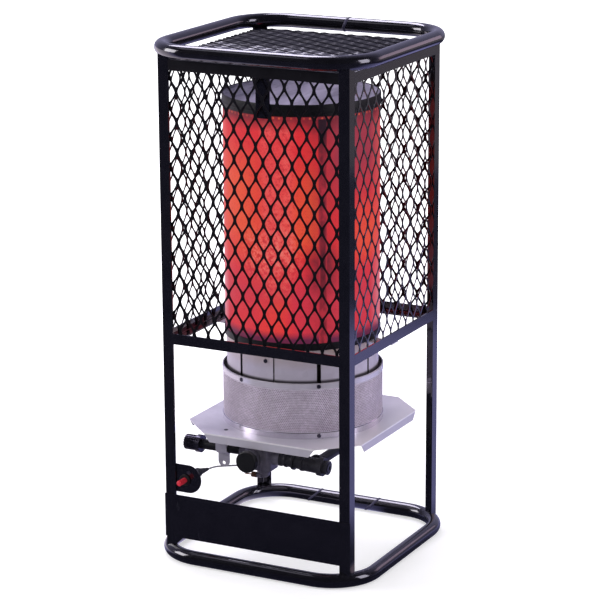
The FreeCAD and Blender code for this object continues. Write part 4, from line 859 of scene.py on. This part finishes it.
def ring_line():
    """A ring's centre line: points in plan and the outward direction at each."""
    inner = (RING_HALF - RING_BEND) * math.sqrt(2)
    line = []
    for corner in range(4):
        turn = math.radians(90 * corner - 90)
        x = inner * math.cos(turn + math.pi / 4)
        y = inner * math.sin(turn + math.pi / 4)
        for step in range(BEND_STEPS + 1):
            angle = turn + math.pi / 2 * step / BEND_STEPS
            out = (math.cos(angle), math.sin(angle))
            line.append(((x + RING_BEND * out[0], y + RING_BEND * out[1]), out))
    return line


def bent_ring(node, height):
    """A square ring of round tube with bent corners, flat where it stands on the floor."""
    bm = bmesh.new()
    loops = []
    for (x, y), out in ring_line():
        loop = []
        for step in range(ROUND_STEPS):
            angle = 2 * math.pi * step / ROUND_STEPS
            side = TUBE_RADIUS * math.cos(angle)
            level = max(0.0, height + TUBE_RADIUS * math.sin(angle))
            loop.append(bm.verts.new(((x + side * out[0]) * MM, (y + side * out[1]) * MM, level * MM)))
        loops.append(loop)
    bridge(bm, loops, closed=True)
    dress(from_bmesh(node + "_tube", bm, smooth_angle=60.0), node, look_of["black_paint"])


def butt_weld(name, x, height, slant):
    """A low rippled bead round a ring's tube, on the rear bar, which was cut aslant."""
    bm = bmesh.new()
    loops = []
    for across, proud in WELD_SECTION:
        loop = []
        for step in range(ROUND_STEPS * 2):
            angle = math.pi * step / ROUND_STEPS
            radius = TUBE_RADIUS + proud + WELD_RIPPLE * math.sin(WELD_RIPPLES * angle + across)
            level = max(0.0, height + radius * math.sin(angle))
            sway = across + WELD_SWAY * math.sin(WELD_SWAYS * angle) + slant * math.sin(angle)
            y = RING_HALF + radius * math.cos(angle)
            loop.append(bm.verts.new(((x + sway) * MM, y * MM, level * MM)))
        loops.append(loop)
    bridge(bm, loops)
    bm.faces.new(loops[0])
    bm.faces.new(loops[-1])
    dress(from_bmesh(name, bm, smooth_angle=60.0), None, look_of["weld_paint"])


def make_rings():
    """The two tube rings, drawn smooth, with the butt welds of their tube on the rear bars."""
    bent_ring("bottom_ring", FOOT_LEVEL)
    bent_ring("top_ring", TOP_LEVEL)
    for name, place in WELDS.items():
        butt_weld(name, *place)


def islands(bm):
    """The lists of faces that hang together, in the mesh's own order, so that every run gives the same."""
    left = dict.fromkeys(bm.faces)
    while left:
        island = [next(iter(left))]
        del left[island[0]]
        for face in island:
            for edge in face.edges:
                for other in edge.link_faces:
                    if other in left:
                        del left[other]
                        island.append(other)
        yield island


def screw_seats():
    """The place and outward direction of every screw's head top, read from the node's mesh."""
    bm = bmesh.new()
    bm.from_mesh(nodes["pan_screws"].data)
    bmesh.ops.remove_doubles(bm, verts=bm.verts, dist=MERGE_WITHIN)
    seats = []
    for island in islands(bm):
        facing = {}
        for face in island:
            key = tuple(round(part, 2) + 0.0 for part in face.normal)
            facing.setdefault(key, []).append(face)
        top = max(facing.values(), key=lambda faces: sum(face.calc_area() for face in faces))
        whole = sum(face.calc_area() for face in top)
        centre = sum((face.calc_center_median() * face.calc_area() for face in top), Vector()) / whole
        seats.append((centre, top[0].normal.copy()))
    bm.free()
    return seats


def head_point(radius, height, angle):
    """A point on a pan head, sunk where the cross recess is."""
    aside = abs((angle + math.pi / 4) % (math.pi / 2) - math.pi / 4) * radius
    if radius < CROSS_REACH and (aside < CROSS_HALF or radius < CROSS_MIDDLE):
        height -= CROSS_DEPTH + CROSS_SLOPE * (CROSS_REACH - radius)
    return Vector((radius * math.cos(angle), radius * math.sin(angle), height)) * MM


def make_pan_heads():
    """All the screws' heads as one piece, each domed and with a cross pressed in."""
    bm = bmesh.new()
    for number, (top, out) in enumerate(screw_seats()):
        spin = out.to_track_quat("Z", "Y").to_matrix() @ Matrix.Rotation(CROSS_TURN * number, 3, "Z")
        foot = top - out * HEAD_HEIGHT * MM
        loops = []
        for radius, height in HEAD_RINGS:
            loop = []
            for step in range(HEAD_STEPS):
                angle = 2 * math.pi * step / HEAD_STEPS
                loop.append(bm.verts.new(foot + spin @ head_point(radius, height, angle)))
            loops.append(loop)
        bridge(bm, loops)
        middle = bm.verts.new(foot + spin @ Vector((0, 0, CROSS_FLOOR * MM)))
        bridge(bm, [loops[-1], [middle] * HEAD_STEPS])
        bm.faces.new(list(reversed(loops[0])))
    dress(from_bmesh("pan_screws_headed", bm, smooth_angle=38.0), "pan_screws", look_of["screw_zinc"])


def finish_cad_pieces():
    """Soften the edges of the CAD's pieces and give each its finish."""
    for node, bevel in BEVELS.items():
        material = look_of[OWN.get(node, SLOTS[node])]
        if bevel:
            refined(node, material, bevel * MM)
        else:
            nodes[node].data.materials.clear()
            nodes[node].data.materials.append(material)


# Floor, light and camera

def floor():
    """A pale floor that keeps the heater's shadow and otherwise runs into the white background."""
    half = FLOOR_HALF
    corners = [(-half, -half, 0), (half, -half, 0), (half, half, 0), (-half, half, 0)]
    mesh = bpy.data.meshes.new("floor")
    mesh.from_pydata(corners, [], [(0, 1, 2, 3)])
    plane = new_object("floor", mesh)
    plane.location.z = -FLOOR_SUNK
    look = Finish("floor_white")
    path = look.node("ShaderNodeLightPath").outputs
    mirror = path["Is Glossy Ray"]
    across = look.node("ShaderNodeVectorMath", {0: look.place}, operation="LENGTH").outputs["Value"]
    way = look.node("ShaderNodeVectorMath", {0: look.place}, operation="NORMALIZE").outputs["Vector"]

    def sector(axis_x, axis_y, low, high):
        """How nearly a place lies in a direction from the heater, from 0 to 1 between two cosines."""
        along_x = look.product(look.part(way, 0), axis_x)
        along_y = look.product(look.part(way, 1), axis_y)
        return look.ramp(look.math("ADD", along_x, along_y), low, high)

    shown = look.most(path["Is Camera Ray"], path["Is Transmission Ray"])
    shown = look.product(shown, look.ramp(across, 0.3, 1.1, 0.5, 1.0))

    # What gloss sees on the floor: light behind the heater, in a deep narrow strip, far off and on its left
    behind = look.product(sector(0.45, 0.89, 0.35, 0.8), look.ramp(across, 1.75, 1.4))
    behind = look.product(behind, look.ramp(across, 0.22, 0.38))
    deep = look.product(sector(0.12, 0.99, 0.965, 0.99), look.ramp(across, 2.2, 1.9))
    far = look.product(sector(0.45, 0.89, 0.8, 0.95), look.ramp(across, 3.1, 3.3))
    left = sector(-0.98, 0.1, 0.66, 0.9)
    mirrored = look.math("MULTIPLY_ADD", look.most(behind, deep), 0.34, 0.03)
    mirrored = look.math("MULTIPLY_ADD", far, 0.15, mirrored)
    mirrored = look.product(mirror, look.math("MULTIPLY_ADD", left, 0.9, mirrored))
    blue = look.mix(look.most(left, far), (0.84, 0.82, 1.75), (1.0, 0.9, 1.05))
    hue = look.mix(mirror, (1.0, 1.0, 1.0), blue)
    glow = look.node("ShaderNodeEmission", {"Color": hue, "Strength": look.math("ADD", shown, mirrored)})
    tone = look.mix(mirror, (0.72, 0.72, 0.74), (0.015, 0.015, 0.022))
    pale = look.node("ShaderNodeBsdfDiffuse", {"Color": tone})
    whole = look.node("ShaderNodeAddShader", {0: pale.outputs[0], 1: glow.outputs[0]})
    mesh.materials.append(look.output(whole))


def world():
    """White to the camera, and round about a room that is white behind and dim in front."""
    space = bpy.data.worlds.new("studio")
    bpy.context.scene.world = space
    space.use_nodes = True
    look = Nodes(space.node_tree, "Generated")
    path = look.node("ShaderNodeLightPath").outputs
    mirror = path["Is Glossy Ray"]
    slant = look.math("MULTIPLY_ADD", look.axis(0), -GLOSS_LEFT, look.axis(1))
    mirrored = look.product(mirror, look.ramp(slant, 0.0, GLOSS_FULL, GLOSS_FRONT, GLOSS_BACK))
    seen = look.most(path["Is Camera Ray"], path["Is Transmission Ray"])
    other = look.rest(look.most(seen, mirror))
    level = look.math("ADD", look.math("MULTIPLY_ADD", other, FILL, seen), mirrored)
    tint = look.mix(mirror, (1.0, 1.0, 1.0), (0.84, 0.80, 1.25))
    sky = look.node("ShaderNodeBackground", {"Color": tint, "Strength": level})
    look.node("ShaderNodeOutputWorld", {0: sky.outputs[0]})


def lamp(name, place, size, power, colour, aim):
    """A soft box pointed at the heater."""
    light = bpy.data.lights.new(name, "AREA")
    light.shape = "RECTANGLE"
    light.size, light.size_y = size
    light.energy = power
    light.color = colour
    box = new_object(name, light)
    box.location = place
    box.rotation_mode = "QUATERNION"
    box.rotation_quaternion = (Vector(aim) - Vector(place)).to_track_quat("-Z", "Y")


def camera():
    """The photograph's viewpoint."""
    level = math.cos(ELEVATION)
    back = Vector((math.sin(AZIMUTH) * level, -math.cos(AZIMUTH) * level, math.sin(ELEVATION)))
    right = Vector((0, 0, 1)).cross(back).normalized()
    up = back.cross(right)
    turned_right = right * math.cos(ROLL) + up * math.sin(ROLL)
    turned_up = up * math.cos(ROLL) - right * math.sin(ROLL)
    lens = bpy.data.cameras.new("camera")
    lens.sensor_width = SENSOR_MM
    lens.lens = FOCAL_PIXELS * SENSOR_MM / FRAME_PIXELS
    lens.clip_start = 0.1
    lens.clip_end = 50.0
    view = new_object("camera", lens)
    turn = Matrix((turned_right, turned_up, back)).transposed().to_4x4()
    view.matrix_world = Matrix.Translation(TARGET + back * DISTANCE) @ turn
    bpy.context.scene.camera = view


make_nets()
make_cap()
make_rings()
make_pan_heads()
finish_cad_pieces()
floor()
world()
for name, values in LAMPS.items():
    lamp(name, *values)
camera()
bpy.context.scene.view_settings.view_transform = "Standard"
